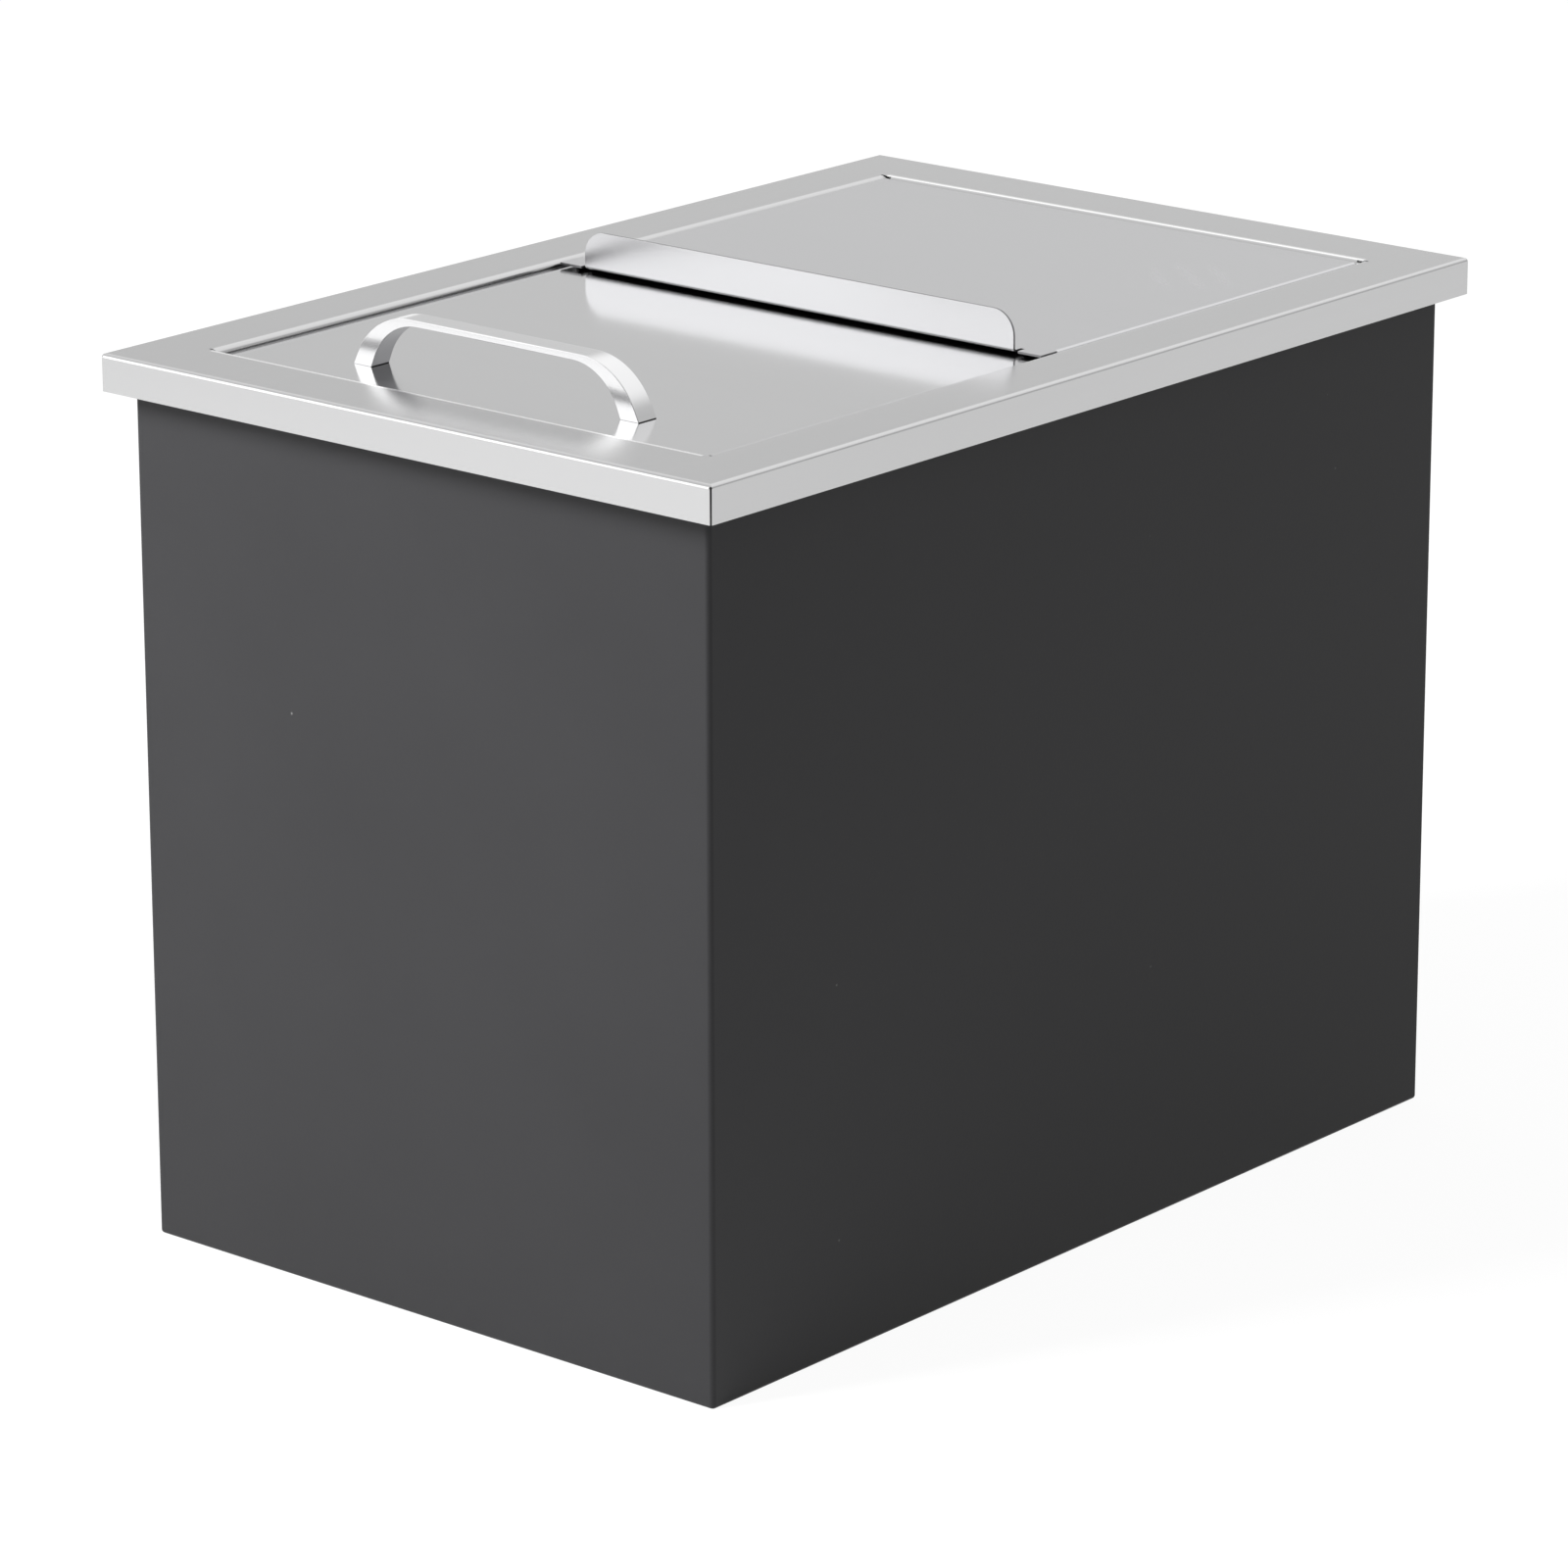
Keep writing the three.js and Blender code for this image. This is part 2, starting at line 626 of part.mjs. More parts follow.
// Rear cover: a shallow tray turned upside down on the ledge, with a grip flange turned up along its
// front edge and a plain tongue at each end of the flange. Its group lies on the ledge.
function makeRearCover() {
  const top = rearCoverTop - ledgeTop;
  const underside = top - coverSheet;
  const back = rearCoverBack;
  const front = meetingLine - coverCornerRadius - overrun;
  const edge = { x: rearCoverHalfWidth, y: (back - front) / 2, r: coverCornerRadius };
  const tray = foldedSolid(
    [
      ring(edge, coverBend, underside),
      ...bendRings(edge, coverBend, top - coverBend, coverBend - coverSheet, 1, 0),
      ring(edge, coverSheet, 0),
      ring(edge, 0, 0),
      ...bendRings(edge, coverBend, top - coverBend, coverBend, 0, 1),
    ],
    true,
  ).translate([0, (front + back) / 2, 0]);
  const wide = rearCoverHalfWidth + overrun;
  const far = front - overrun;
  const cutFront = boxSolid([-wide, far, -overrun], [wide, meetingLine, top + overrun]);
  const cutReturns = boxSolid([-wide, far, -overrun], [wide, meetingLine + returnSetback, underside]);
  const flangeHalf = rearCoverHalfWidth - tongueLength;
  const bendEnd = meetingLine + flangeBend;
  const cutFlange = boxSolid([-flangeHalf, far, -overrun], [flangeHalf, bendEnd, top + overrun]);
  let solid = tray.subtract(cutFront).subtract(cutReturns).subtract(cutFlange);
  for (const sign of [-1, 1]) {
    const notch = new THREE.BoxGeometry(tongueNotchWidth, tongueNotchDepth + tongueNotchDepth, top);
    notch.translate(sign * (flangeHalf + tongueNotchWidth / 2), meetingLine, top);
    solid = solid.subtract(solidFrom(notch));
  }
  const flangeTop = top + flangeHeight;
  const upright = new THREE.Shape();
  upright.moveTo(-flangeHalf, underside + flangeBend);
  upright.lineTo(flangeHalf, underside + flangeBend);
  upright.lineTo(flangeHalf, flangeTop - flangeCornerRadius);
  upright.absarc(flangeHalf - flangeCornerRadius, flangeTop - flangeCornerRadius, flangeCornerRadius, 0, rightAngle);
  upright.lineTo(flangeCornerRadius - flangeHalf, flangeTop);
  upright.absarc(flangeCornerRadius - flangeHalf, flangeTop - flangeCornerRadius, flangeCornerRadius,
    rightAngle, rightAngle + rightAngle);
  const plate = drawnAlongY(upright, coverSheet).translate([0, meetingLine + coverSheet / 2, 0]);
  const bend = new THREE.Shape();
  bend.absarc(bendEnd, underside + flangeBend, flangeBend, rightAngle * 2, rightAngle * 3);
  bend.absarc(bendEnd, underside + flangeBend, flangeBend - coverSheet, rightAngle * 3, rightAngle * 2, true);
  const bendGeometry = new THREE.ExtrudeGeometry(bend, {
    depth: flangeHalf + flangeHalf,
    bevelEnabled: false,
    curveSegments: cornerSteps + cornerSteps,
  });
  bendGeometry.rotateX(rightAngle);
  bendGeometry.rotateZ(rightAngle);
  bendGeometry.translate(-flangeHalf, 0, 0);
  solid = solid.add(plate).add(solidFrom(bendGeometry));
  return meshOf("rear_cover", solid, polishedSteel);
}

// The whole bin: what stays fixed, and one group for each piece that moves.
const iceBin = new THREE.Group();
const body = new THREE.Group();
body.add(
  makeRimFrame(),
  makeInnerLiner(),
  makeOuterJacket(),
  ...makeSeamRivets(),
  makeBottomPanel(),
  ...makeFoamBoards(),
  makeDrainOutlet(),
  makeDrainGasket(),
  makeDrainLockNut(),
  makeOutletGrommet(),
);
const slidingCover = new THREE.Group();
slidingCover.position.z = ledgeTop;
slidingCover.add(makeFrontCover(), makeHandle(), ...makeHandleFixings());
const liftingCover = new THREE.Group();
liftingCover.position.z = ledgeTop;
liftingCover.add(makeRearCover());
const stopper = new THREE.Group();
stopper.position.z = floorHeight;
stopper.add(makeDrainPlug());
iceBin.add(body, slidingCover, liftingCover, stopper);

export default iceBin;
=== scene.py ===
import math
import bmesh
import bpy
from mathutils import Matrix, Vector


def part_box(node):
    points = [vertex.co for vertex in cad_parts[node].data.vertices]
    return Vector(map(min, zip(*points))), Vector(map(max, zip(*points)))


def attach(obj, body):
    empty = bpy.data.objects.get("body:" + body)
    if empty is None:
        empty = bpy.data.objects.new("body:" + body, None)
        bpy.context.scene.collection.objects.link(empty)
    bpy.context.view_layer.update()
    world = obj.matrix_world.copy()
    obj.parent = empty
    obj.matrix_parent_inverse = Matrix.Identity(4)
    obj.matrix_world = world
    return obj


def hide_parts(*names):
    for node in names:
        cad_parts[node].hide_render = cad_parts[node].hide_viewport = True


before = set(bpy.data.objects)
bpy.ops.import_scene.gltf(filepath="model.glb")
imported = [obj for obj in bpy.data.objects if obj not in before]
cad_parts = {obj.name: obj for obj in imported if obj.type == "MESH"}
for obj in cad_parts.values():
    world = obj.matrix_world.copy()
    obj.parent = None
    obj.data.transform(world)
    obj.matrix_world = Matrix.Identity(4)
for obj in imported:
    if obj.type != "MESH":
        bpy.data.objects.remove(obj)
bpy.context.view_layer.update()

# The view. The photograph looks down with a long lens on the near right corner of the bin, from the end of
# the handle. The place is in metres, the turns in degrees, and the lens and the sensor in millimetres.
VIEW_PLACE = (1.7741, -2.1031, 1.0153)
VIEW_TURN = 40.315
VIEW_TILT = 17.217
VIEW_ROLL = -0.121
VIEW_LENS = 164.15
VIEW_SENSOR = 36.0

view = bpy.data.objects.new("view", bpy.data.cameras.new("view"))
view.data.lens = VIEW_LENS
view.data.sensor_width = VIEW_SENSOR
view.data.clip_end = 60.0
view.matrix_world = (
    Matrix.Translation(VIEW_PLACE)
    @ Matrix.Rotation(math.radians(VIEW_TURN), 4, "Z")
    @ Matrix.Rotation(math.radians(90.0 - VIEW_TILT), 4, "X")
    @ Matrix.Rotation(math.radians(VIEW_ROLL), 4, "Z")
)
bpy.context.scene.collection.objects.link(view)
bpy.context.scene.camera = view


# Basin. One deep drawn sheet of stainless steel with round corners, a coved floor and a dish for the drain.
# Its top folds out to the ledge that the covers lie on, and up behind the rim, to which it is spot welded.
SHEET = 0.001
LEDGE_WIDTH = 0.010
UPSTAND = 0.0015
LEAST_CORNER = 0.00015
BASIN_CORNER = 0.014
BASIN_COVE = 0.008
LEDGE_FOLD = 0.0012
DISH_RADIUS = 0.025
DISH_DEPTH = 0.0025
DISH_EDGE = 0.0008
DRAIN_HOLE = 0.014
CUT_EDGE = 0.00012
FLAT_FROM = 0.7


def level_ring(half, inset, z, steps=8):
    """Points of a level rounded rectangle. half is (half x, half y, corner radius), inset draws it in."""
    radius = max(half[2] - inset, LEAST_CORNER)
    centre_x = half[0] - inset - radius
    centre_y = half[1] - inset - radius
    points = []
    for quarter, (side_x, side_y) in enumerate(((1, 1), (-1, 1), (-1, -1), (1, -1))):
        for step in range(steps + 1):
            angle = (quarter + step / steps) * math.pi / 2
            x = side_x * centre_x + radius * math.cos(angle)
            y = side_y * centre_y + radius * math.sin(angle)
            points.append(Vector((x, y, z)))
    return points


def fold(half, inset, z, radius, start, end, steps=8):
    """Rings along a fold in a sheet, round a line at that inset and height, from start to end degrees."""
    rings = []
    for step in range(steps + 1):
        angle = math.radians(start + (end - start) * step / steps)
        rings.append(level_ring(half, inset - radius * math.cos(angle), z + radius * math.sin(angle)))
    return rings


def new_piece(name, mesh, shown=True):
    """A piece made of an edited mesh, which is freed. A cutter isn't shown."""
    data = bpy.data.meshes.new(name)
    mesh.to_mesh(data)
    mesh.free()
    piece = bpy.data.objects.new(name, data)
    if shown:
        bpy.context.scene.collection.objects.link(piece)
    return piece


def open_mesh(piece):
    """The mesh of a piece, open to be edited."""
    mesh = bmesh.new()
    mesh.from_mesh(piece.data)
    return mesh


def close_mesh(piece, mesh):
    """Puts an edited mesh back in its piece."""
    mesh.to_mesh(piece.data)
    mesh.free()
    return piece


def skin_of(name, rings, closed=True):
    """A mesh skinned over rings of points. A closed ring joins its last point to its first."""
    mesh = bmesh.new()
    rows = [[mesh.verts.new(point) for point in ring] for ring in rings]
    count = len(rows[0])
    for low, high in zip(rows, rows[1:]):
        for i in range(count if closed else count - 1):
            j = (i + 1) % count
            mesh.faces.new((low[i], low[j], high[j], high[i]))
    bmesh.ops.remove_doubles(mesh, verts=mesh.verts, dist=1e-6)
    bmesh.ops.dissolve_degenerate(mesh, dist=1e-7, edges=mesh.edges)
    return new_piece(name, mesh)


def thicken(piece, thickness=SHEET):
    """Gives a skin its sheet thickness, behind its faces. Its cut edges take the second material."""
    for _ in range(2):
        piece.data.materials.append(None)
    wall = piece.modifiers.new("sheet", "SOLIDIFY")
    wall.material_offset_rim = 1
    wall.thickness = thickness
    wall.offset = -1.0
    wall.use_even_offset = True
    return piece


def cut_away(piece, cutters):
    """Cuts the pieces in cutters out of a piece, and deletes them."""
    group = bpy.data.collections.new(piece.name + "_cuts")
    for cutter in cutters:
        group.objects.link(cutter)
    cut = piece.modifiers.new("cuts", "BOOLEAN")
    cut.operation = "DIFFERENCE"
    cut.operand_type = "COLLECTION"
    cut.collection = group
    cut.solver = "EXACT"
    settle(piece)
    for cutter in cutters:
        bpy.data.objects.remove(cutter)
    bpy.data.collections.remove(group)
    return piece


def settle(piece):
    """Turns a piece with modifiers into the plain mesh that they make."""
    evaluated = piece.evaluated_get(bpy.context.evaluated_depsgraph_get())
    data = bpy.data.meshes.new_from_object(evaluated)
    data.name = piece.name
    piece.modifiers.clear()
    piece.data = data
    return piece


def ease_edges(piece, width=CUT_EDGE, sharpest=40.0):
    """Rounds the sharp edges of a piece a little, and shades its folds smooth and its flats flat."""
    bevel = piece.modifiers.new("edges", "BEVEL")
    bevel.width = width
    bevel.segments = 2
    bevel.limit_method = "ANGLE"
    bevel.angle_limit = math.radians(sharpest)
    bevel.use_clamp_overlap = True
    mesh = open_mesh(settle(piece))
    for face in mesh.faces:
        face.smooth = True
    close_mesh(piece, mesh)
    even = piece.modifiers.new("shading", "WEIGHTED_NORMAL")
    even.weight = 100
    even.keep_sharp = True
    return piece


def place_piece(piece, body, slot, material, *nodes, edges=None):
    """Gives a piece its material and body, and puts it in the place of its plain nodes. Its slot is not
    used.
    """
    if edges:
        piece.data.materials[0] = material
        piece.data.materials[1] = edges
    else:
        piece.data.materials.clear()
        piece.data.materials.append(material)
    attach(piece, body)
    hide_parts(*nodes)
    return piece


def new_group(name, vectors, values, results):
    """A shader group that takes vectors and values, which have a default, and gives values."""
    group = bpy.data.node_groups.new(name, "ShaderNodeTree")
    new = group.interface.new_socket
    for label in vectors:
        new(name=label, in_out="INPUT", socket_type="NodeSocketVector")
    for label, value in values.items():
        new(name=label, in_out="INPUT", socket_type="NodeSocketFloat").default_value = value
    for label in results:
        new(name=label, in_out="OUTPUT", socket_type="NodeSocketFloat")
    return group, group.nodes.new("NodeGroupInput"), group.nodes.new("NodeGroupOutput")


def add_node(tree, kind, **values):
    """A node in a tree, with its properties and its inputs set by name."""
    node = tree.nodes.new(kind)
    for key, value in values.items():
        if hasattr(node, key):
            setattr(node, key, value)
        else:
            node.inputs[key.replace("_", " ")].default_value = value
    return node


def add_math(tree, operation, second=None, kind="ShaderNodeMath", **values):
    """A maths node in a tree, with its second input set."""
    node = add_node(tree, kind, operation=operation, **values)
    if second is not None:
        node.inputs[1].default_value = second
    return node


def new_material(name):
    """A material, its tree, and the shader in it."""
    material = bpy.data.materials.new(name)
    material.use_nodes = True
    return material, material.node_tree, material.node_tree.nodes["Principled BSDF"]


def spread(colour, share):
    """The two ends of a tone, darker and lighter than a colour by a share."""
    dark = (*[c * (1 - share) for c in colour], 1.0)
    light = (*[min(c * (1 + share), 1.0) for c in colour], 1.0)
    return {"A": dark, "B": light}


def brushed_grain():
    """Shader group: brushing lines, level on upright faces and along Y, or X if turned, on flat ones."""
    group, given, result = new_group(
        "brushed_grain",
        ["Vector", "Facing"],
        {"Across": 1500.0, "Along": 20.0, "Turned": 0.0},
        ["Grain", "Streaks"],
    )
    link = group.links.new
    place = add_node(group, "ShaderNodeSeparateXYZ")
    facing = add_node(group, "ShaderNodeSeparateXYZ")
    link(given.outputs["Vector"], place.inputs["Vector"])
    link(given.outputs["Facing"], facing.inputs["Vector"])
    steep = add_math(group, "ABSOLUTE")
    flat = add_math(group, "GREATER_THAN", FLAT_FROM)
    link(facing.outputs["Z"], steep.inputs[0])
    link(steep.outputs["Value"], flat.inputs[0])
    both = add_math(group, "ADD")
    link(place.outputs["X"], both.inputs[0])
    link(place.outputs["Y"], both.inputs[1])
    scaled = []
    for flat_ends, upright, scale in (
        (("X", "Y"), place.outputs["Z"], "Across"),
        (("Y", "X"), both.outputs["Value"], "Along"),
    ):
        turned = add_node(group, "ShaderNodeMix", data_type="FLOAT")
        link(given.outputs["Turned"], turned.inputs["Factor"])
        link(place.outputs[flat_ends[0]], turned.inputs["A"])
        link(place.outputs[flat_ends[1]], turned.inputs["B"])
        chosen = add_node(group, "ShaderNodeMix", data_type="FLOAT")
        link(flat.outputs["Value"], chosen.inputs["Factor"])
        link(upright, chosen.inputs["A"])
        link(turned.outputs["Result"], chosen.inputs["B"])
        lines = add_math(group, "MULTIPLY")
        link(chosen.outputs["Result"], lines.inputs[0])
        link(given.outputs[scale], lines.inputs[1])
        scaled.append(lines)
    stretched = add_node(group, "ShaderNodeCombineXYZ")
    link(scaled[0].outputs["Value"], stretched.inputs["X"])
    link(scaled[1].outputs["Value"], stretched.inputs["Y"])
    fine = add_node(group, "ShaderNodeTexNoise", Scale=1.0, Detail=4.0, Roughness=0.65)
    broad = add_node(group, "ShaderNodeTexNoise", Scale=0.16, Detail=3.0, Roughness=0.6)
    link(stretched.outputs["Vector"], fine.inputs["Vector"])
    link(stretched.outputs["Vector"], broad.inputs["Vector"])
    link(fine.outputs["Fac"], result.inputs["Grain"])
    link(broad.outputs["Fac"], result.inputs["Streaks"])
    return group


def handling_marks():
    """Shader group: soft smears where the steel has been wiped and handled, from 0 on clean metal to 1."""
    group, given, result = new_group("handling_marks", ["Vector"], {"Size": 7.0}, ["Marks"])
    cloud = add_node(group, "ShaderNodeTexNoise", Detail=5.0, Roughness=0.6, Distortion=0.4)
    limits = add_node(group, "ShaderNodeMapRange", From_Min=0.52, From_Max=0.78)
    link = group.links.new
    link(given.outputs["Vector"], cloud.inputs["Vector"])
    link(given.outputs["Size"], cloud.inputs["Scale"])
    link(cloud.outputs["Fac"], limits.inputs["Value"])
    link(limits.outputs["Result"], result.inputs["Marks"])
    return group


GRAIN = brushed_grain()
MARKS = handling_marks()


def steel_finish(name, colour, roughness, lines, depth, swell=0.0, mark_size=7.0, marks=0.03, turned=0.0):
    """Brushed or polished steel. lines is how many brushing lines a metre has, across and along them."""
    material, tree, shader = new_material(name)
    shader.inputs["Metallic"].default_value = 1.0
    link = tree.links.new
    place = add_node(tree, "ShaderNodeTexCoord")
    across, along = lines
    grain = add_node(tree, "ShaderNodeGroup", node_tree=GRAIN, Across=across, Along=along, Turned=turned)
    smears = add_node(tree, "ShaderNodeGroup", node_tree=MARKS, Size=mark_size)
    link(place.outputs["Object"], grain.inputs["Vector"])
    link(place.outputs["Normal"], grain.inputs["Facing"])
    link(place.outputs["Object"], smears.inputs["Vector"])
    tone = add_node(tree, "ShaderNodeMix", data_type="RGBA", **spread(colour, 0.015))
    link(grain.outputs["Streaks"], tone.inputs["Factor"])
    link(tone.outputs["Result"], shader.inputs["Base Color"])
    rough = add_node(tree, "ShaderNodeMapRange", To_Min=roughness * 0.95, To_Max=roughness * 1.05)
    link(grain.outputs["Streaks"], rough.inputs["Value"])
    smear = add_math(tree, "MULTIPLY_ADD", marks)
    link(smears.outputs["Marks"], smear.inputs[0])
    link(rough.outputs["Result"], smear.inputs[2])
    link(smear.outputs["Value"], shader.inputs["Roughness"])
    scratches = add_node(tree, "ShaderNodeBump", Strength=1.0, Distance=depth)
    link(grain.outputs["Grain"], scratches.inputs["Height"])
    link(scratches.outputs["Normal"], shader.inputs["Normal"])
    if swell:
        waves = add_node(tree, "ShaderNodeTexNoise", Scale=9.0, Detail=1.0)
        uneven = add_node(tree, "ShaderNodeBump", Strength=1.0, Distance=swell)
        link(place.outputs["Object"], waves.inputs["Vector"])
        link(waves.outputs["Fac"], uneven.inputs["Height"])
        link(uneven.outputs["Normal"], scratches.inputs["Normal"])
    return material


basin_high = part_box("inner_liner")[1]
basin_half = (
    basin_high.x - SHEET - SHEET - LEDGE_WIDTH,
    basin_high.y - SHEET - SHEET - LEDGE_WIDTH,
    BASIN_CORNER,
)
ledge_z = basin_high.z - UPSTAND
dish_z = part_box("inner_liner")[0].z + SHEET
floor_z = dish_z + DISH_DEPTH
upstand_half = (basin_high.x - SHEET, basin_high.y - SHEET, SHEET + SHEET)


def dish_ring(radius, z):
    """A circle about the drain."""
    return level_ring((radius, radius, radius), 0.0, z)


basin_rings = [
    dish_ring(DRAIN_HOLE, dish_z),
    dish_ring(DISH_RADIUS - DISH_EDGE, dish_z),
    dish_ring(DISH_RADIUS, dish_z + DISH_EDGE),
    dish_ring(DISH_RADIUS, floor_z - DISH_EDGE),
    dish_ring(DISH_RADIUS + DISH_EDGE, floor_z),
    *fold(basin_half, BASIN_COVE, floor_z + BASIN_COVE, BASIN_COVE, -90.0, 0.0),
    *fold(basin_half, -LEDGE_FOLD, ledge_z - LEDGE_FOLD, LEDGE_FOLD, 180.0, 90.0, 4),
    level_ring(upstand_half, 0.0, ledge_z),
    level_ring(upstand_half, 0.0, basin_high.z),
]
basin = skin_of("basin", basin_rings)
basin_mesh = open_mesh(basin)
bmesh.ops.reverse_faces(basin_mesh, faces=basin_mesh.faces)
settle(thicken(close_mesh(basin, basin_mesh)))
ease_edges(basin)
BASIN_STEEL = steel_finish("basin_steel", (0.68, 0.68, 0.69), 0.45, (2400.0, 40.0), 0.000004)
CUT_STEEL = steel_finish("cut_steel", (0.22, 0.22, 0.225), 0.38, (2500.0, 300.0), 0.000002)
place_piece(basin, "bin", "basin_steel", BASIN_STEEL, "inner_liner", edges=CUT_STEEL)


# Rim. One folded sheet of brushed stainless steel. Its lip is turned down outside and butts at the corners.
# Its return is turned down round the opening, with a relief cut at each end of the short sides. The folds
# of the short sides carry a painted highlight, a near-white line in the rim's colour.
LIP_FOLD = 0.0018
RETURN_FOLD = 0.0026
RIM_CORNER = 0.0012
RETURN_CORNER = 0.001
SEAM_WIDTH = 0.0007
SEAM_LENGTH = 0.008
SEAM_COVER = 0.0008
RELIEF_LENGTH = 0.0055
RELIEF_WIDTH = 0.0009
FOLD_HIGHLIGHT_WIDTH = 0.0016
FOLD_HIGHLIGHT_FADE = 0.0005
FOLD_HIGHLIGHT_COLOUR = (0.93, 0.93, 0.93, 1.0)


def cutter_box(size, place, turn=0.0):
    """A box to cut with, by its size, its middle and its turn about Z in degrees."""
    mesh = bmesh.new()
    turned = Matrix.Translation(place) @ Matrix.Rotation(math.radians(turn), 4, "Z")
    bmesh.ops.create_cube(mesh, size=1.0, matrix=turned @ Matrix.Diagonal((*size, 1.0)))
    return new_piece("cutter", mesh, shown=False)


def painted_fold_highlight():
    """Shader group: 1 on a painted highlight line along the two folds that run along X, else 0."""
    sizes = {"Half X": 0.1, "Half Y": 0.1}
    group, given, result = new_group("painted_fold_highlight", ["Vector"], sizes, ["Line"])
    link = group.links.new
    place = add_node(group, "ShaderNodeSeparateXYZ")
    link(given.outputs["Vector"], place.inputs["Vector"])
    beyond = []
    for axis in ("X", "Y"):
        reach = add_math(group, "ABSOLUTE")
        past = add_math(group, "SUBTRACT")
        link(place.outputs[axis], reach.inputs[0])
        link(reach.outputs["Value"], past.inputs[0])
        link(given.outputs["Half " + axis], past.inputs[1])
        beyond.append(past.outputs["Value"])
    within = add_math(group, "LESS_THAN", 0.0)
    apart = add_math(group, "ABSOLUTE")
    half = FOLD_HIGHLIGHT_WIDTH / 2
    limits = add_node(group, "ShaderNodeMapRange", From_Min=half + FOLD_HIGHLIGHT_FADE, From_Max=half)
    line = add_math(group, "MULTIPLY")
    link(beyond[0], within.inputs[0])
    link(beyond[1], apart.inputs[0])
    link(apart.outputs["Value"], limits.inputs["Value"])
    link(limits.outputs["Result"], line.inputs[0])
    link(within.outputs["Value"], line.inputs[1])
    link(line.outputs["Value"], result.inputs["Line"])
    return group


rim_low, rim_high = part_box("rim_frame")
rim_half = (rim_high.x, rim_high.y, RIM_CORNER)
opening_half = (basin_half[0] + LEDGE_WIDTH, basin_half[1] + LEDGE_WIDTH, RETURN_CORNER)
rim_rings = [
    level_ring(rim_half, 0.0, rim_low.z),
    *fold(rim_half, LIP_FOLD, rim_high.z - LIP_FOLD, LIP_FOLD, 0.0, 90.0, 12),
    *fold(opening_half, -RETURN_FOLD, rim_high.z - RETURN_FOLD, RETURN_FOLD, 90.0, 180.0, 10),
    level_ring(opening_half, 0.0, ledge_z),
]
rim = settle(thicken(skin_of("rim", rim_rings)))
seam_low = rim_low.z - SHEET
seam_high = rim_high.z - SEAM_COVER
rim_cuts = []
for side_x in (-1, 1):
    for side_y in (-1, 1):
        seam_size = (SEAM_LENGTH, SEAM_WIDTH, seam_high - seam_low)
        seam_place = (side_x * rim_high.x, side_y * rim_high.y, (seam_low + seam_high) / 2)
        rim_cuts.append(cutter_box(seam_size, seam_place, side_x * side_y * 45.0))
        relief_size = (RELIEF_LENGTH, RELIEF_WIDTH, (rim_high.z - ledge_z + SHEET) * 2)
        relief_place = (side_x * opening_half[0], side_y * (opening_half[1] + SHEET), rim_high.z)
        rim_cuts.append(cutter_box(relief_size, relief_place))
cut_away(rim, rim_cuts)
ease_edges(rim, 0.0001)
RIM_STEEL = steel_finish("rim_steel", (0.54, 0.54, 0.543), 0.19, (1500.0, 18.0), 0.0000008, 0.00002)
rim_tree = RIM_STEEL.node_tree
rim_colour = rim_tree.nodes["Principled BSDF"].inputs["Base Color"]
rim_place = add_node(rim_tree, "ShaderNodeTexCoord")
# Painted highlight: a near-white line is mixed into the rim's colour along the return folds of the short
# sides.
fold_highlight_mask = add_node(
    rim_tree,
    "ShaderNodeGroup",
    node_tree=painted_fold_highlight(),
    Half_X=opening_half[0],
    Half_Y=opening_half[1] + RETURN_FOLD,
)
fold_highlight_mix = add_node(rim_tree, "ShaderNodeMix", data_type="RGBA", B=FOLD_HIGHLIGHT_COLOUR)
link = rim_tree.links.new
link(rim_place.outputs["Object"], fold_highlight_mask.inputs["Vector"])
link(fold_highlight_mask.outputs["Line"], fold_highlight_mix.inputs["Factor"])
link(rim_colour.links[0].from_socket, fold_highlight_mix.inputs["A"])
link(fold_highlight_mix.outputs["Result"], rim_colour)
place_piece(rim, "bin", "brushed_rim_steel", RIM_STEEL, "rim_frame", edges=CUT_STEEL)


# Outer jacket. Black coated steel sheet wrapped round the foam, folded at the corners and turned in at the
# top and the bottom. Its ends lap on the back, where five blind rivets hold them.
JACKET_CORNER = 0.002
JACKET_FOLD = 0.0015
TOP_FLANGE = 0.013
BOTTOM_FLANGE = 0.016
LAP_SEAM_INSET = 0.0475
LAP_SEAM_GAP = 0.0006
LAP_WIDTH = 0.020
RIVETS = 5
RIVET_END = 0.030
RIVET_HEAD = 0.0032
RIVET_RISE = 0.0012
RIVET_SHANK = 0.0016
RIVET_TAIL = 0.0022
RIVET_TAIL_LENGTH = 0.002
RIVET_DIMPLE = 0.0009
TURNED_CORE = 0.0001
ZERO = (0.0, 0.0, 0.0)
COAT_GLOSS = 0.14
COAT_BUMP = 0.00002
DUST_COLOUR = (0.22, 0.22, 0.22, 1.0)
DUST_AMOUNT = 0.35

jacket_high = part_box("outer_jacket")[1]
jacket_half = (jacket_high.x, jacket_high.y, JACKET_CORNER)
seam_x = jacket_high.x - LAP_SEAM_INSET


def split_at_seam(ring):
    """Opens a ring of the jacket at the lap seam on the back, so that it starts and ends there."""
    corner = next(i for i, point in enumerate(ring) if point.x < seam_x and point.y > 0)
    left_end = Vector((seam_x - LAP_SEAM_GAP / 2, ring[corner].y, ring[corner].z))
    right_end = Vector((seam_x + LAP_SEAM_GAP / 2, ring[corner].y, ring[corner].z))
    return [left_end, *ring[corner:], *ring[:corner], right_end]


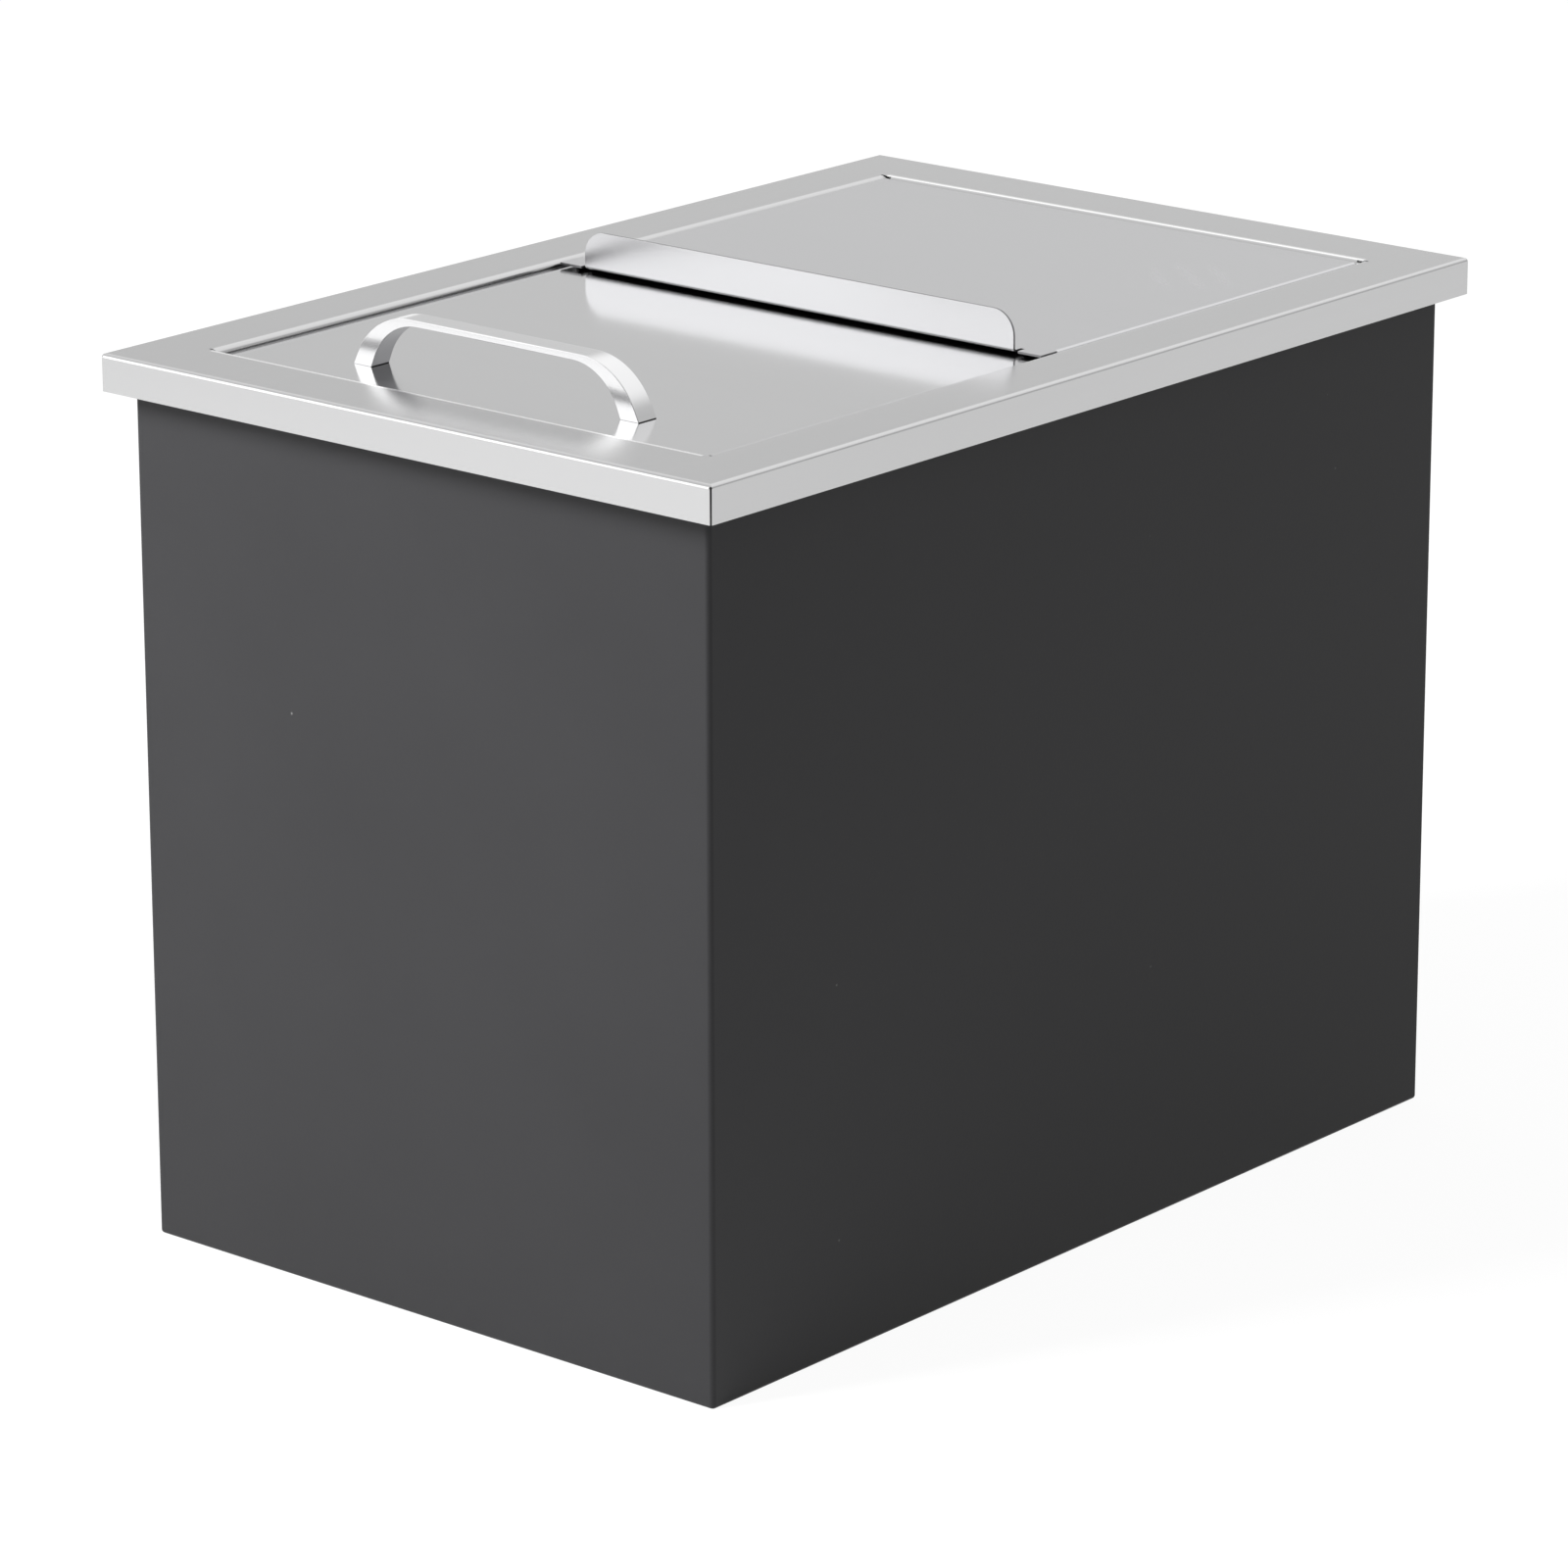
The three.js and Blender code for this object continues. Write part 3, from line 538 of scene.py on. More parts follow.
jacket_rings = [
    level_ring(jacket_half, BOTTOM_FLANGE, 0.0),
    *fold(jacket_half, JACKET_FOLD, JACKET_FOLD, JACKET_FOLD, -90.0, 0.0, 6),
    *fold(jacket_half, JACKET_FOLD, jacket_high.z - JACKET_FOLD, JACKET_FOLD, 0.0, 90.0, 6),
    level_ring(jacket_half, TOP_FLANGE, jacket_high.z),
]
jacket = skin_of("jacket", [split_at_seam(ring) for ring in jacket_rings], closed=False)
lap_low = JACKET_FOLD + SHEET
lap_high = jacket_high.z - JACKET_FOLD - SHEET
lap_y = jacket_high.y - SHEET
lap_left = seam_x - LAP_WIDTH / 2
lap_right = seam_x + LAP_WIDTH / 2
lap_rows = [[Vector((x, lap_y, z)) for x in (lap_right, lap_left)] for z in (lap_low, lap_high)]
lap = skin_of("lap", lap_rows, closed=False)
with bpy.context.temp_override(active_object=jacket, selected_editable_objects=[jacket, lap]):
    bpy.ops.object.join()
settle(thicken(jacket))
ease_edges(jacket)


def coat_texture():
    """Shader group: the fine skin of a baked powder coat, and the few pale specks of dust in it."""
    group, given, result = new_group("coat_texture", ["Vector"], {}, ["Skin", "Cloud", "Specks"])
    skin = add_node(group, "ShaderNodeTexNoise", Scale=900.0, Detail=2.0, Roughness=0.5)
    cloud = add_node(group, "ShaderNodeTexNoise", Scale=11.0, Detail=3.0, Roughness=0.55)
    spots = add_node(group, "ShaderNodeTexVoronoi", Scale=34.0)
    near = add_node(group, "ShaderNodeMapRange", From_Min=0.0, From_Max=0.022, To_Min=1.0, To_Max=0.0)
    pick = add_node(group, "ShaderNodeSeparateColor")
    few = add_math(group, "GREATER_THAN", 0.72)
    both = add_math(group, "MULTIPLY")
    link = group.links.new
    for node in (skin, cloud, spots):
        link(given.outputs["Vector"], node.inputs["Vector"])
    link(spots.outputs["Distance"], near.inputs["Value"])
    link(spots.outputs["Color"], pick.inputs["Color"])
    link(pick.outputs["Red"], few.inputs[0])
    link(near.outputs["Result"], both.inputs[0])
    link(few.outputs["Value"], both.inputs[1])
    link(skin.outputs["Fac"], result.inputs["Skin"])
    link(cloud.outputs["Fac"], result.inputs["Cloud"])
    link(both.outputs["Value"], result.inputs["Specks"])
    return group


COAT = coat_texture()


def coated_finish(name, colour, roughness):
    """Satin black powder coat on steel."""
    material, tree, shader = new_material(name)
    shader.inputs["Specular IOR Level"].default_value = COAT_GLOSS
    link = tree.links.new
    place = add_node(tree, "ShaderNodeTexCoord")
    coat = add_node(tree, "ShaderNodeGroup", node_tree=COAT)
    link(place.outputs["Object"], coat.inputs["Vector"])
    tone = add_node(tree, "ShaderNodeMix", data_type="RGBA", **spread(colour, 0.1))
    link(coat.outputs["Cloud"], tone.inputs["Factor"])
    dust = add_node(tree, "ShaderNodeMix", data_type="RGBA", B=DUST_COLOUR)
    amount = add_math(tree, "MULTIPLY", DUST_AMOUNT)
    link(coat.outputs["Specks"], amount.inputs[0])
    link(amount.outputs["Value"], dust.inputs["Factor"])
    link(tone.outputs["Result"], dust.inputs["A"])
    link(dust.outputs["Result"], shader.inputs["Base Color"])
    rough = add_node(tree, "ShaderNodeMapRange", To_Min=roughness * 0.9, To_Max=roughness * 1.1)
    link(coat.outputs["Cloud"], rough.inputs["Value"])
    link(rough.outputs["Result"], shader.inputs["Roughness"])
    skin = add_node(tree, "ShaderNodeBump", Strength=1.0, Distance=COAT_BUMP)
    link(coat.outputs["Skin"], skin.inputs["Height"])
    link(skin.outputs["Normal"], shader.inputs["Normal"])
    return material


BLACK_COAT = coated_finish("black_coat", (0.0112, 0.0112, 0.0119), 0.36)
place_piece(jacket, "bin", "black_coating", BLACK_COAT, "outer_jacket")


def turned_tree():
    """Geometry Nodes: turns the outline in the mesh round an axis, and repeats the piece along a line."""
    tree = bpy.data.node_groups.new("turned_pieces", "GeometryNodeTree")
    sockets = (
        ("Outline", "INPUT", "Geometry"),
        ("Sides", "INPUT", "Int"),
        ("Copies", "INPUT", "Int"),
        ("First", "INPUT", "Vector"),
        ("Spacing", "INPUT", "Vector"),
        ("Lean", "INPUT", "Rotation"),
        ("Core", "INPUT", "Float"),
        ("Finish", "INPUT", "Material"),
        ("Pieces", "OUTPUT", "Geometry"),
    )
    for label, direction, kind in sockets:
        tree.interface.new_socket(name=label, in_out=direction, socket_type="NodeSocket" + kind)
    new = tree.nodes.new
    given = new("NodeGroupInput")
    result = new("NodeGroupOutput")
    outline = new("GeometryNodeMeshToCurve")
    circle = new("GeometryNodeCurvePrimitiveCircle")
    turned = new("GeometryNodeCurveToMesh")
    closed = new("GeometryNodeMergeByDistance")
    closed.inputs["Distance"].default_value = TURNED_CORE / 10
    places = new("GeometryNodeMeshLine")
    copies = new("GeometryNodeInstanceOnPoints")
    real = new("GeometryNodeRealizeInstances")
    finish = new("GeometryNodeSetMaterial")
    link = tree.links.new
    link(given.outputs["Outline"], outline.inputs["Mesh"])
    link(given.outputs["Sides"], circle.inputs["Resolution"])
    link(given.outputs["Core"], circle.inputs["Radius"])
    link(circle.outputs["Curve"], turned.inputs["Curve"])
    link(outline.outputs["Curve"], turned.inputs["Profile Curve"])
    link(turned.outputs["Mesh"], closed.inputs["Geometry"])
    link(given.outputs["Copies"], places.inputs["Count"])
    link(given.outputs["First"], places.inputs["Start Location"])
    link(given.outputs["Spacing"], places.inputs["Offset"])
    link(places.outputs["Mesh"], copies.inputs["Points"])
    link(closed.outputs["Geometry"], copies.inputs["Instance"])
    link(given.outputs["Lean"], copies.inputs["Rotation"])
    link(copies.outputs["Instances"], real.inputs["Geometry"])
    link(real.outputs["Geometry"], finish.inputs["Geometry"])
    link(given.outputs["Finish"], finish.inputs["Material"])
    link(finish.outputs["Geometry"], result.inputs["Pieces"])
    return tree


TURNED = turned_tree()


def turn_pieces(name, outline, material, first=ZERO, spacing=ZERO, copies=1, lean=ZERO, sides=64):
    """Turned pieces from an outline of (radius, height), which ends on the axis or closes on itself."""
    mesh = bmesh.new()
    points = [mesh.verts.new((radius - TURNED_CORE, -height, 0.0)) for radius, height in outline]
    for a, b in zip(points, points[1:]):
        mesh.edges.new((a, b))
    if outline[0][0] > 0:
        mesh.edges.new((points[-1], points[0]))
    piece = new_piece(name, mesh)
    maker = piece.modifiers.new("turned", "NODES")
    maker.node_group = TURNED
    names = {item.name: item.identifier for item in TURNED.interface.items_tree if item.in_out == "INPUT"}
    values = {"Sides": sides, "Copies": copies, "First": first, "Spacing": spacing, "Lean": lean}
    values.update({"Core": TURNED_CORE, "Finish": material})
    for label, value in values.items():
        maker[names[label]] = value
    mesh = open_mesh(settle(piece))
    bmesh.ops.recalc_face_normals(mesh, faces=mesh.faces)
    return close_mesh(piece, mesh)


rivet_through = SHEET + SHEET
rivet_outline = [
    (0.0, RIVET_RISE * 0.55),
    (RIVET_DIMPLE * 0.7, RIVET_RISE * 0.6),
    (RIVET_DIMPLE, RIVET_RISE * 0.98),
    *[
        (RIVET_HEAD * math.sin(math.radians(angle)), RIVET_RISE * math.cos(math.radians(angle)))
        for angle in (25, 40, 55, 70, 82)
    ],
    (RIVET_HEAD, 0.0),
    (RIVET_SHANK, 0.0),
    (RIVET_SHANK, -rivet_through),
    (RIVET_TAIL, -rivet_through - SHEET / 4),
    (RIVET_TAIL, -rivet_through - RIVET_TAIL_LENGTH * 0.8),
    (RIVET_TAIL * 0.7, -rivet_through - RIVET_TAIL_LENGTH),
    (0.0, -rivet_through - RIVET_TAIL_LENGTH),
]
rivet_reach = jacket_high.z - RIVET_END - RIVET_END
rivets = turn_pieces(
    "seam_rivets",
    rivet_outline,
    BLACK_COAT,
    first=(seam_x, jacket_high.y, RIVET_END),
    spacing=(0.0, 0.0, rivet_reach / (RIVETS - 1)),
    copies=RIVETS,
    lean=(-math.pi / 2, 0.0, 0.0),
    sides=32,
)
ease_edges(rivets, 0.00005)
rivet_nodes = [f"seam_rivet_{i + 1}" for i in range(RIVETS)]
place_piece(rivets, "bin", "black_coating", BLACK_COAT, *rivet_nodes)


# Foam. Boards of rigid foam fill the space between the basin and the jacket, and four more lie under the
# basin round the drain. They are cut with a hot wire, which leaves small open cells.
def patterned_finish(name, kind, output, tones, rough, depth, **pattern):
    """A plain stuff whose tone, roughness and surface follow the output of one pattern node."""
    material, tree, shader = new_material(name)
    link = tree.links.new
    place = add_node(tree, "ShaderNodeTexCoord")
    cells = add_node(tree, kind, **pattern)
    tone = add_node(tree, "ShaderNodeMix", data_type="RGBA", A=tones[0], B=tones[1])
    duller = add_node(tree, "ShaderNodeMapRange", To_Min=rough[0], To_Max=rough[1])
    bump = add_node(tree, "ShaderNodeBump", Distance=depth)
    link(place.outputs["Object"], cells.inputs["Vector"])
    link(cells.outputs[output], tone.inputs["Factor"])
    link(cells.outputs[output], duller.inputs["Value"])
    link(cells.outputs[output], bump.inputs["Height"])
    link(tone.outputs["Result"], shader.inputs["Base Color"])
    link(duller.outputs["Result"], shader.inputs["Roughness"])
    link(bump.outputs["Normal"], shader.inputs["Normal"])
    return material


def paint_nodes(material, *names):
    """Gives plain nodes of the frame their material."""
    for name in names:
        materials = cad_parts[name].data.materials
        materials.clear()
        materials.append(material)


FOAM_TONES = ((0.66, 0.62, 0.47, 1.0), (0.82, 0.79, 0.68, 1.0))
FOAM = patterned_finish(
    "foam", "ShaderNodeTexVoronoi", "Distance", FOAM_TONES, (0.8, 0.95), 0.0004, Scale=650.0
)
paint_nodes(FOAM, *[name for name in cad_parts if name.startswith("foam_")])


# Bottom panel. Black coated steel, pressed down in the middle so that it stands level with the jacket's
# flange, on which its edge lies. A rubber grommet closes its hole round the drain outlet.
PANEL_STEP = 0.0015
PANEL_CORNER = 0.003
OUTLET_HOLE = 0.018
GROMMET_FLANGE = 0.021
GROMMET_TOP = 0.003
GROMMET_LOW = 0.0005
OUTLET_TUBE = 0.0135
SLIP = 0.0003
RUBBER_GLOSS = 0.35

panel_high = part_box("bottom_panel")[1]
panel_half = (panel_high.x, panel_high.y, PANEL_CORNER)
panel_step_in = BOTTOM_FLANGE - SHEET
panel_rings = [
    level_ring((OUTLET_HOLE, OUTLET_HOLE, OUTLET_HOLE), 0.0, 0.0),
    level_ring(panel_half, panel_step_in + PANEL_STEP, 0.0),
    level_ring(panel_half, panel_step_in, SHEET),
    level_ring(panel_half, 0.0, SHEET),
]
panel = settle(thicken(skin_of("bottom_panel_sheet", panel_rings)))
ease_edges(panel)
BASE_COAT = coated_finish("base_coat", (0.01, 0.01, 0.0105), 0.45)
place_piece(panel, "bin", "black_coated_base", BASE_COAT, "bottom_panel")

RUBBER_TONES = ((0.014, 0.014, 0.014, 1.0), (0.038, 0.038, 0.039, 1.0))
RUBBER = patterned_finish(
    "rubber", "ShaderNodeTexNoise", "Fac", RUBBER_TONES, (0.55, 0.8), 0.00008, Scale=90.0, Detail=5.0
)
RUBBER.node_tree.nodes["Principled BSDF"].inputs["Specular IOR Level"].default_value = RUBBER_GLOSS
grommet_outline = [
    (OUTLET_TUBE + SLIP, GROMMET_LOW),
    (OUTLET_HOLE - SLIP, GROMMET_LOW),
    (OUTLET_HOLE - SLIP, SHEET),
    (GROMMET_FLANGE, SHEET),
    (GROMMET_FLANGE, GROMMET_TOP - SHEET / 2),
    (GROMMET_FLANGE - SHEET / 2, GROMMET_TOP),
    (OUTLET_TUBE + SLIP, GROMMET_TOP),
]
grommet = turn_pieces("grommet", grommet_outline, RUBBER)
ease_edges(grommet, 0.0001)
place_piece(grommet, "bin", "black_rubber", RUBBER, "outlet_grommet")


# Drain. A turned steel outlet with a tapered seat is let into the dish of the basin floor, over a flat
# gasket, and a lock nut clamps it from below. A rubber plug with a knob closes it and is pulled by hand.
OUTLET_BORE = 0.010
SEAT_RADIUS = 0.012
SEAT_DEPTH = 0.004
OUTLET_FLANGE = 0.023
OUTLET_FLANGE_DEPTH = 0.0015
OUTLET_EASE = 0.0006
PLUG_CLEARANCE = 0.0004
PLUG_DEPTH = 0.008
PLUG_FLANGE = 0.016
PLUG_FLANGE_DEPTH = 0.0022
PLUG_STEM = 0.003
PLUG_STEM_HEIGHT = 0.003
PLUG_KNOB = 0.006
PLUG_KNOB_HEIGHT = 0.003

outlet_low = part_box("drain_outlet")[0].z
outlet_outline = [
    (OUTLET_BORE, outlet_low),
    (OUTLET_TUBE - OUTLET_EASE, outlet_low),
    (OUTLET_TUBE, outlet_low + OUTLET_EASE),
    (OUTLET_TUBE, floor_z - OUTLET_FLANGE_DEPTH),
    (OUTLET_FLANGE, floor_z - OUTLET_FLANGE_DEPTH),
    (OUTLET_FLANGE, floor_z - OUTLET_EASE),
    (OUTLET_FLANGE - OUTLET_EASE, floor_z),
    (SEAT_RADIUS, floor_z),
    (OUTLET_BORE, floor_z - SEAT_DEPTH),
]
DRAIN_STEEL = steel_finish("drain_steel", (0.6, 0.6, 0.61), 0.2, (900.0, 200.0), 0.000002)
outlet = turn_pieces("outlet", outlet_outline, DRAIN_STEEL)
ease_edges(outlet, 0.0001)
place_piece(outlet, "bin", "drain_metal", DRAIN_STEEL, "drain_outlet")

plug_side = OUTLET_BORE - PLUG_CLEARANCE
plug_top = SEAT_RADIUS - PLUG_CLEARANCE - PLUG_CLEARANCE * (SEAT_RADIUS - OUTLET_BORE) / SEAT_DEPTH
stem_top = PLUG_FLANGE_DEPTH + PLUG_STEM_HEIGHT
knob_top = stem_top + PLUG_KNOB_HEIGHT
plug_heights = [
    (0.0, -PLUG_DEPTH),
    (plug_side - SHEET, -PLUG_DEPTH),
    (plug_side, -PLUG_DEPTH + SHEET),
    (plug_side, -SEAT_DEPTH),
    (plug_top, -PLUG_CLEARANCE),
    (plug_top, 0.0),
    (PLUG_FLANGE, 0.0),
    (PLUG_FLANGE - SHEET / 4, PLUG_FLANGE_DEPTH / 4),
    (PLUG_FLANGE - PLUG_FLANGE_DEPTH / 2, PLUG_FLANGE_DEPTH * 0.7),
    (PLUG_KNOB + SHEET, PLUG_FLANGE_DEPTH),
    (PLUG_STEM + SHEET / 2, PLUG_FLANGE_DEPTH),
    (PLUG_STEM, PLUG_FLANGE_DEPTH + SHEET / 2),
    (PLUG_STEM, stem_top - SHEET / 2),
    (PLUG_STEM + SHEET, stem_top),
    (PLUG_KNOB - SHEET / 2, stem_top + PLUG_KNOB_HEIGHT * 0.2),
    (PLUG_KNOB, stem_top + PLUG_KNOB_HEIGHT * 0.5),
    (PLUG_KNOB - SHEET / 2, stem_top + PLUG_KNOB_HEIGHT * 0.8),
    (PLUG_KNOB * 0.6, knob_top),
    (0.0, knob_top),
]
plug = turn_pieces("plug", [(radius, floor_z + height) for radius, height in plug_heights], RUBBER)
ease_edges(plug, 0.0002)
place_piece(plug, "drain_plug", "black_rubber", RUBBER, "drain_plug")
paint_nodes(RUBBER, "drain_gasket")
paint_nodes(DRAIN_STEEL, "drain_lock_nut")


# Front cover. A flat sheet of polished stainless steel that slides on the ledge, under the rear cover. Two
# holes take the handle's screws.
COVER_CORNER = 0.0015
SCREW_HOLE = 0.00215

cover_low, cover_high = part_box("front_cover")
cover_middle = (cover_low + cover_high) / 2
cover_half = ((cover_high.x - cover_low.x) / 2, (cover_high.y - cover_low.y) / 2, COVER_CORNER)
cover_shift = Vector((0.0, cover_middle.y, 0.0))
cover_edge = [point + cover_shift for point in level_ring(cover_half, 0.0, cover_high.z)]
cover_mesh = bmesh.new()
cover_mesh.faces.new([cover_mesh.verts.new(point) for point in cover_edge])
bmesh.ops.remove_doubles(cover_mesh, verts=cover_mesh.verts, dist=1e-6)
cover = settle(thicken(new_piece("cover_sheet", cover_mesh)))


def cutter_rod(radius, low, high, x, y):
    """A round rod to cut with."""
    mesh = bmesh.new()
    middle = Matrix.Translation((x, y, (low + high) / 2))
    bmesh.ops.create_cone(
        mesh, cap_ends=True, segments=32, radius1=radius, radius2=radius, depth=high - low, matrix=middle
    )
    return new_piece("cutter", mesh, shown=False)


cover_cuts = []
for side in ("left", "right"):
    washer_low, washer_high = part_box("handle_washer_" + side)
    place = (washer_low + washer_high) / 2
    cover_cuts.append(cutter_rod(SCREW_HOLE, cover_low.z - SHEET, cover_high.z + SHEET, place.x, place.y))
cut_away(cover, cover_cuts)
ease_edges(cover)
COVER_STEEL = steel_finish(
    "cover_steel", (0.6, 0.6, 0.605), 0.12, (700.0, 12.0), 0.0000008, 0.00005, turned=1.0
)
place_piece(cover, "front_cover", "polished_cover_steel", COVER_STEEL, "front_cover", edges=CUT_STEEL)


# Handle. A flat bar of solid steel bent to an arch and chrome plated. Its inner side takes a rougher copy
# of the chrome whose darker colour is painted shade. Its feet are thick, with a painted dark line of shade
# where they meet the cover, and two screws with washers hold them from below it.
HANDLE_THICKNESS = 0.0027
FOOT_WIDTH = 0.0096
OUTER_BEND = 0.030
INNER_BEND = 0.024
OUTER_FOOT_ANGLE = 65.0
INNER_FOOT_ANGLE = 68.0
HANDLE_EDGE = 0.0004
FOOT_SHADE_SHARE = 0.08
FOOT_SHADE_HEIGHT = 0.0005

handle_low, handle_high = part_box("handle")
handle_middle = (handle_low + handle_high) / 2
handle_half = (handle_high.x - handle_low.x) / 2
handle_depth = handle_high.y - handle_low.y


def arch_curve(half_length, rise, bend, foot_angle, steps=14):
    """One side of the bar, from its left foot over the level middle to its right foot, as (x, height)."""
    angle = math.radians(foot_angle)
    straight = (rise - bend * (1 - math.cos(angle))) / math.sin(angle)
    reach = straight * math.cos(angle) + bend * math.sin(angle)
    leg = (straight * math.cos(angle), straight * math.sin(angle))
    # A section a little above each foot bounds the band of painted shade there.
    left = [(leg[0] * share, leg[1] * share) for share in (0.0, FOOT_SHADE_SHARE, 0.5)]
    for step in range(steps + 1):
        turn = angle * (1 - step / steps)
        left.append((reach - bend * math.sin(turn), rise - bend * (1 - math.cos(turn))))
    left = [(x - half_length, z) for x, z in left]
    level = [(left[-1][0] * share, rise) for share in (0.6, 0.2, -0.2, -0.6)]
    return left + level + [(-x, z) for x, z in reversed(left)]


def bar_section(outer, inner, depth, edge, steps=4):
    """A rounded rectangle across the bar, between a point of its outer and a point of its inner curve."""
    outside = Vector((outer[0], 0.0, outer[1]))
    inside = Vector((inner[0], 0.0, inner[1]))
    across = (outside - inside).normalized()
    along = Vector((0.0, 1.0, 0.0))
    half = (outside - inside).length / 2
    middle = (outside + inside) / 2
    corners = ((1, 1), (-1, 1), (-1, -1), (1, -1))
    points = []
    for quarter, (side_a, side_b) in enumerate(corners):
        for step in range(steps + 1):
            angle = (quarter + step / steps) * math.pi / 2
            a = side_a * (half - edge) + edge * math.cos(angle)
            b = side_b * (depth / 2 - edge) + edge * math.sin(angle)
            points.append(middle + across * a + along * b)
    return points


outer_curve = arch_curve(handle_half, handle_high.z - handle_low.z, OUTER_BEND, OUTER_FOOT_ANGLE)
inner_rise = handle_high.z - handle_low.z - HANDLE_THICKNESS
inner_curve = arch_curve(handle_half - FOOT_WIDTH, inner_rise, INNER_BEND, INNER_FOOT_ANGLE)
handle_seat = Vector((handle_middle.x, handle_middle.y, handle_low.z))
sections = [
    [point + handle_seat for point in bar_section(outer, inner, handle_depth, HANDLE_EDGE)]
    for outer, inner in zip(outer_curve, inner_curve)
]
bar = skin_of("bow_handle", sections)
bar_mesh = open_mesh(bar)
bmesh.ops.holes_fill(bar_mesh, edges=[edge for edge in bar_mesh.edges if edge.is_boundary])
bmesh.ops.recalc_face_normals(bar_mesh, faces=bar_mesh.faces)
arch_middle = Vector((handle_middle.x, handle_middle.y, handle_low.z + handle_half / 5))
# Faces on the inner side of the arch take the darker chrome, which is painted shade. Faces at the bottom of
# the feet take a painted dark line of shade where they meet the cover.
for face in bar_mesh.faces:
    middle = face.calc_center_median()
    sideways = abs(face.normal.y)
    inward = face.normal.dot(arch_middle - middle) > 0
    face.material_index = int(inward and sideways < 0.3 and face.normal.z > -0.999)
    if middle.z < handle_low.z + FOOT_SHADE_HEIGHT and sideways < 0.9:
        face.material_index = 2
close_mesh(bar, bar_mesh)
for _ in range(3):
    bar.data.materials.append(None)
ease_edges(bar, 0.0001, 60.0)
CHROME = steel_finish("chrome", (0.7, 0.7, 0.705), 0.16, (900.0, 60.0), 0.0000002, 0.00001, 20.0, 0.03)
# Painted shade: the inner side's chrome is a darker copy of the chrome, and also rougher.
SHADED_INNER_CHROME = steel_finish("shaded_inner_chrome", (0.34, 0.34, 0.35), 0.28, (900.0, 200.0), 0.000001)
# Painted shade: a near-black line where the feet meet the cover.
FOOT_SHADE = steel_finish("painted_foot_shade", (0.05, 0.05, 0.05), 0.5, (900.0, 200.0), 0.000001)
bar.data.materials[2] = FOOT_SHADE
place_piece(bar, "front_cover", "handle_chrome", CHROME, "handle", edges=SHADED_INNER_CHROME)
ZINC = steel_finish("zinc", (0.5, 0.51, 0.53), 0.35, (900.0, 400.0), 0.000004)
for side in ("left", "right"):
    paint_nodes(ZINC, "handle_washer_" + side, "handle_screw_" + side)


# Rear cover. A shallow tray of brushed steel sheet turned over on the ledge. Its front edge is turned up to
# a grip flange with round corners, between two plain tongues that reach the sides of the opening.
COVER_FOLD = 0.0015
RETURN_SETBACK = 0.010
TONGUE = 0.0135
NOTCH_WIDTH = 0.002
NOTCH_DEPTH = 0.0045
FLANGE_HEIGHT = 0.0152
FLANGE_FOLD = 0.0016
FLANGE_CORNER = 0.010
FOLD_STEPS = 8
CORNER_STEPS = 12
REAR_FINISH = ((0.56, 0.56, 0.57), 0.23, (1300.0, 10.0), 0.0000012, 0.00002)
SMEAR_DULLING = 0.06

rear_low, rear_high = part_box("rear_cover")
rear_top = rear_high.z - FLANGE_HEIGHT
meeting_y = rear_low.y
flange_x = rear_high.x - TONGUE


def tray_path(inset, z, steps=6):
    """Points of the tray's side and back walls at one level, from the front right end round to the left."""
    radius = max(COVER_CORNER - inset, 0.0002)
    x = rear_high.x - inset
    y = rear_high.y - inset
    start = meeting_y + RETURN_SETBACK
    points = [Vector((x, start, z))]
    for centre, first in ((x - radius, 0.0), (radius - x, 90.0)):
        for step in range(steps + 1):
            angle = math.radians(first + 90.0 * step / steps)
            across = radius * math.cos(angle)
            points.append(Vector((centre + across, y - radius + radius * math.sin(angle), z)))
    points.append(Vector((-x, start, z)))
    return points


tray_rows = [tray_path(0.0, rear_low.z)]
for step in range(FOLD_STEPS + 1):
    angle = math.radians(90.0 * step / FOLD_STEPS)
    inset = COVER_FOLD * (1 - math.cos(angle))
    tray_rows.append(tray_path(inset, rear_top - COVER_FOLD * (1 - math.sin(angle))))
tray = skin_of("rear_cover_sheet", tray_rows, closed=False)
tray_mesh = open_mesh(tray)
tongue_x = rear_high.x
notch_x = flange_x + NOTCH_WIDTH
notch_y = meeting_y + NOTCH_DEPTH
fold_y = meeting_y + FLANGE_FOLD
front_right = [
    (tongue_x, meeting_y + RETURN_SETBACK),
    (tongue_x, meeting_y),
    (notch_x, meeting_y),
    (notch_x, notch_y),
    (flange_x, notch_y),
    (flange_x, fold_y),
]
front_edge = [(-x, y) for x, y in front_right] + [(x, y) for x, y in reversed(front_right)]
top_points = [point.copy() for point in tray_rows[-1]]
top_points += [Vector((x, y, rear_top)) for x, y in front_edge]
tray_mesh.faces.new([tray_mesh.verts.new(point) for point in top_points])
inner_fold = FLANGE_FOLD - SHEET
flange_rows = []
for step in range(FOLD_STEPS + 1):
    angle = math.radians(90.0 * step / FOLD_STEPS)
    y = fold_y - inner_fold * math.sin(angle)
    z = rear_top + inner_fold * (1 - math.cos(angle))
    flange_rows.append([Vector((x, y, z)) for x in (-flange_x, flange_x)])
for low, high in zip(flange_rows, flange_rows[1:]):
    corners = (low[0], low[1], high[1], high[0])
    tray_mesh.faces.new([tray_mesh.verts.new(point) for point in corners])
flange_y = meeting_y + SHEET
flange_low = rear_top + inner_fold
flange_outline = [Vector((x, flange_y, flange_low)) for x in (-flange_x, flange_x)]
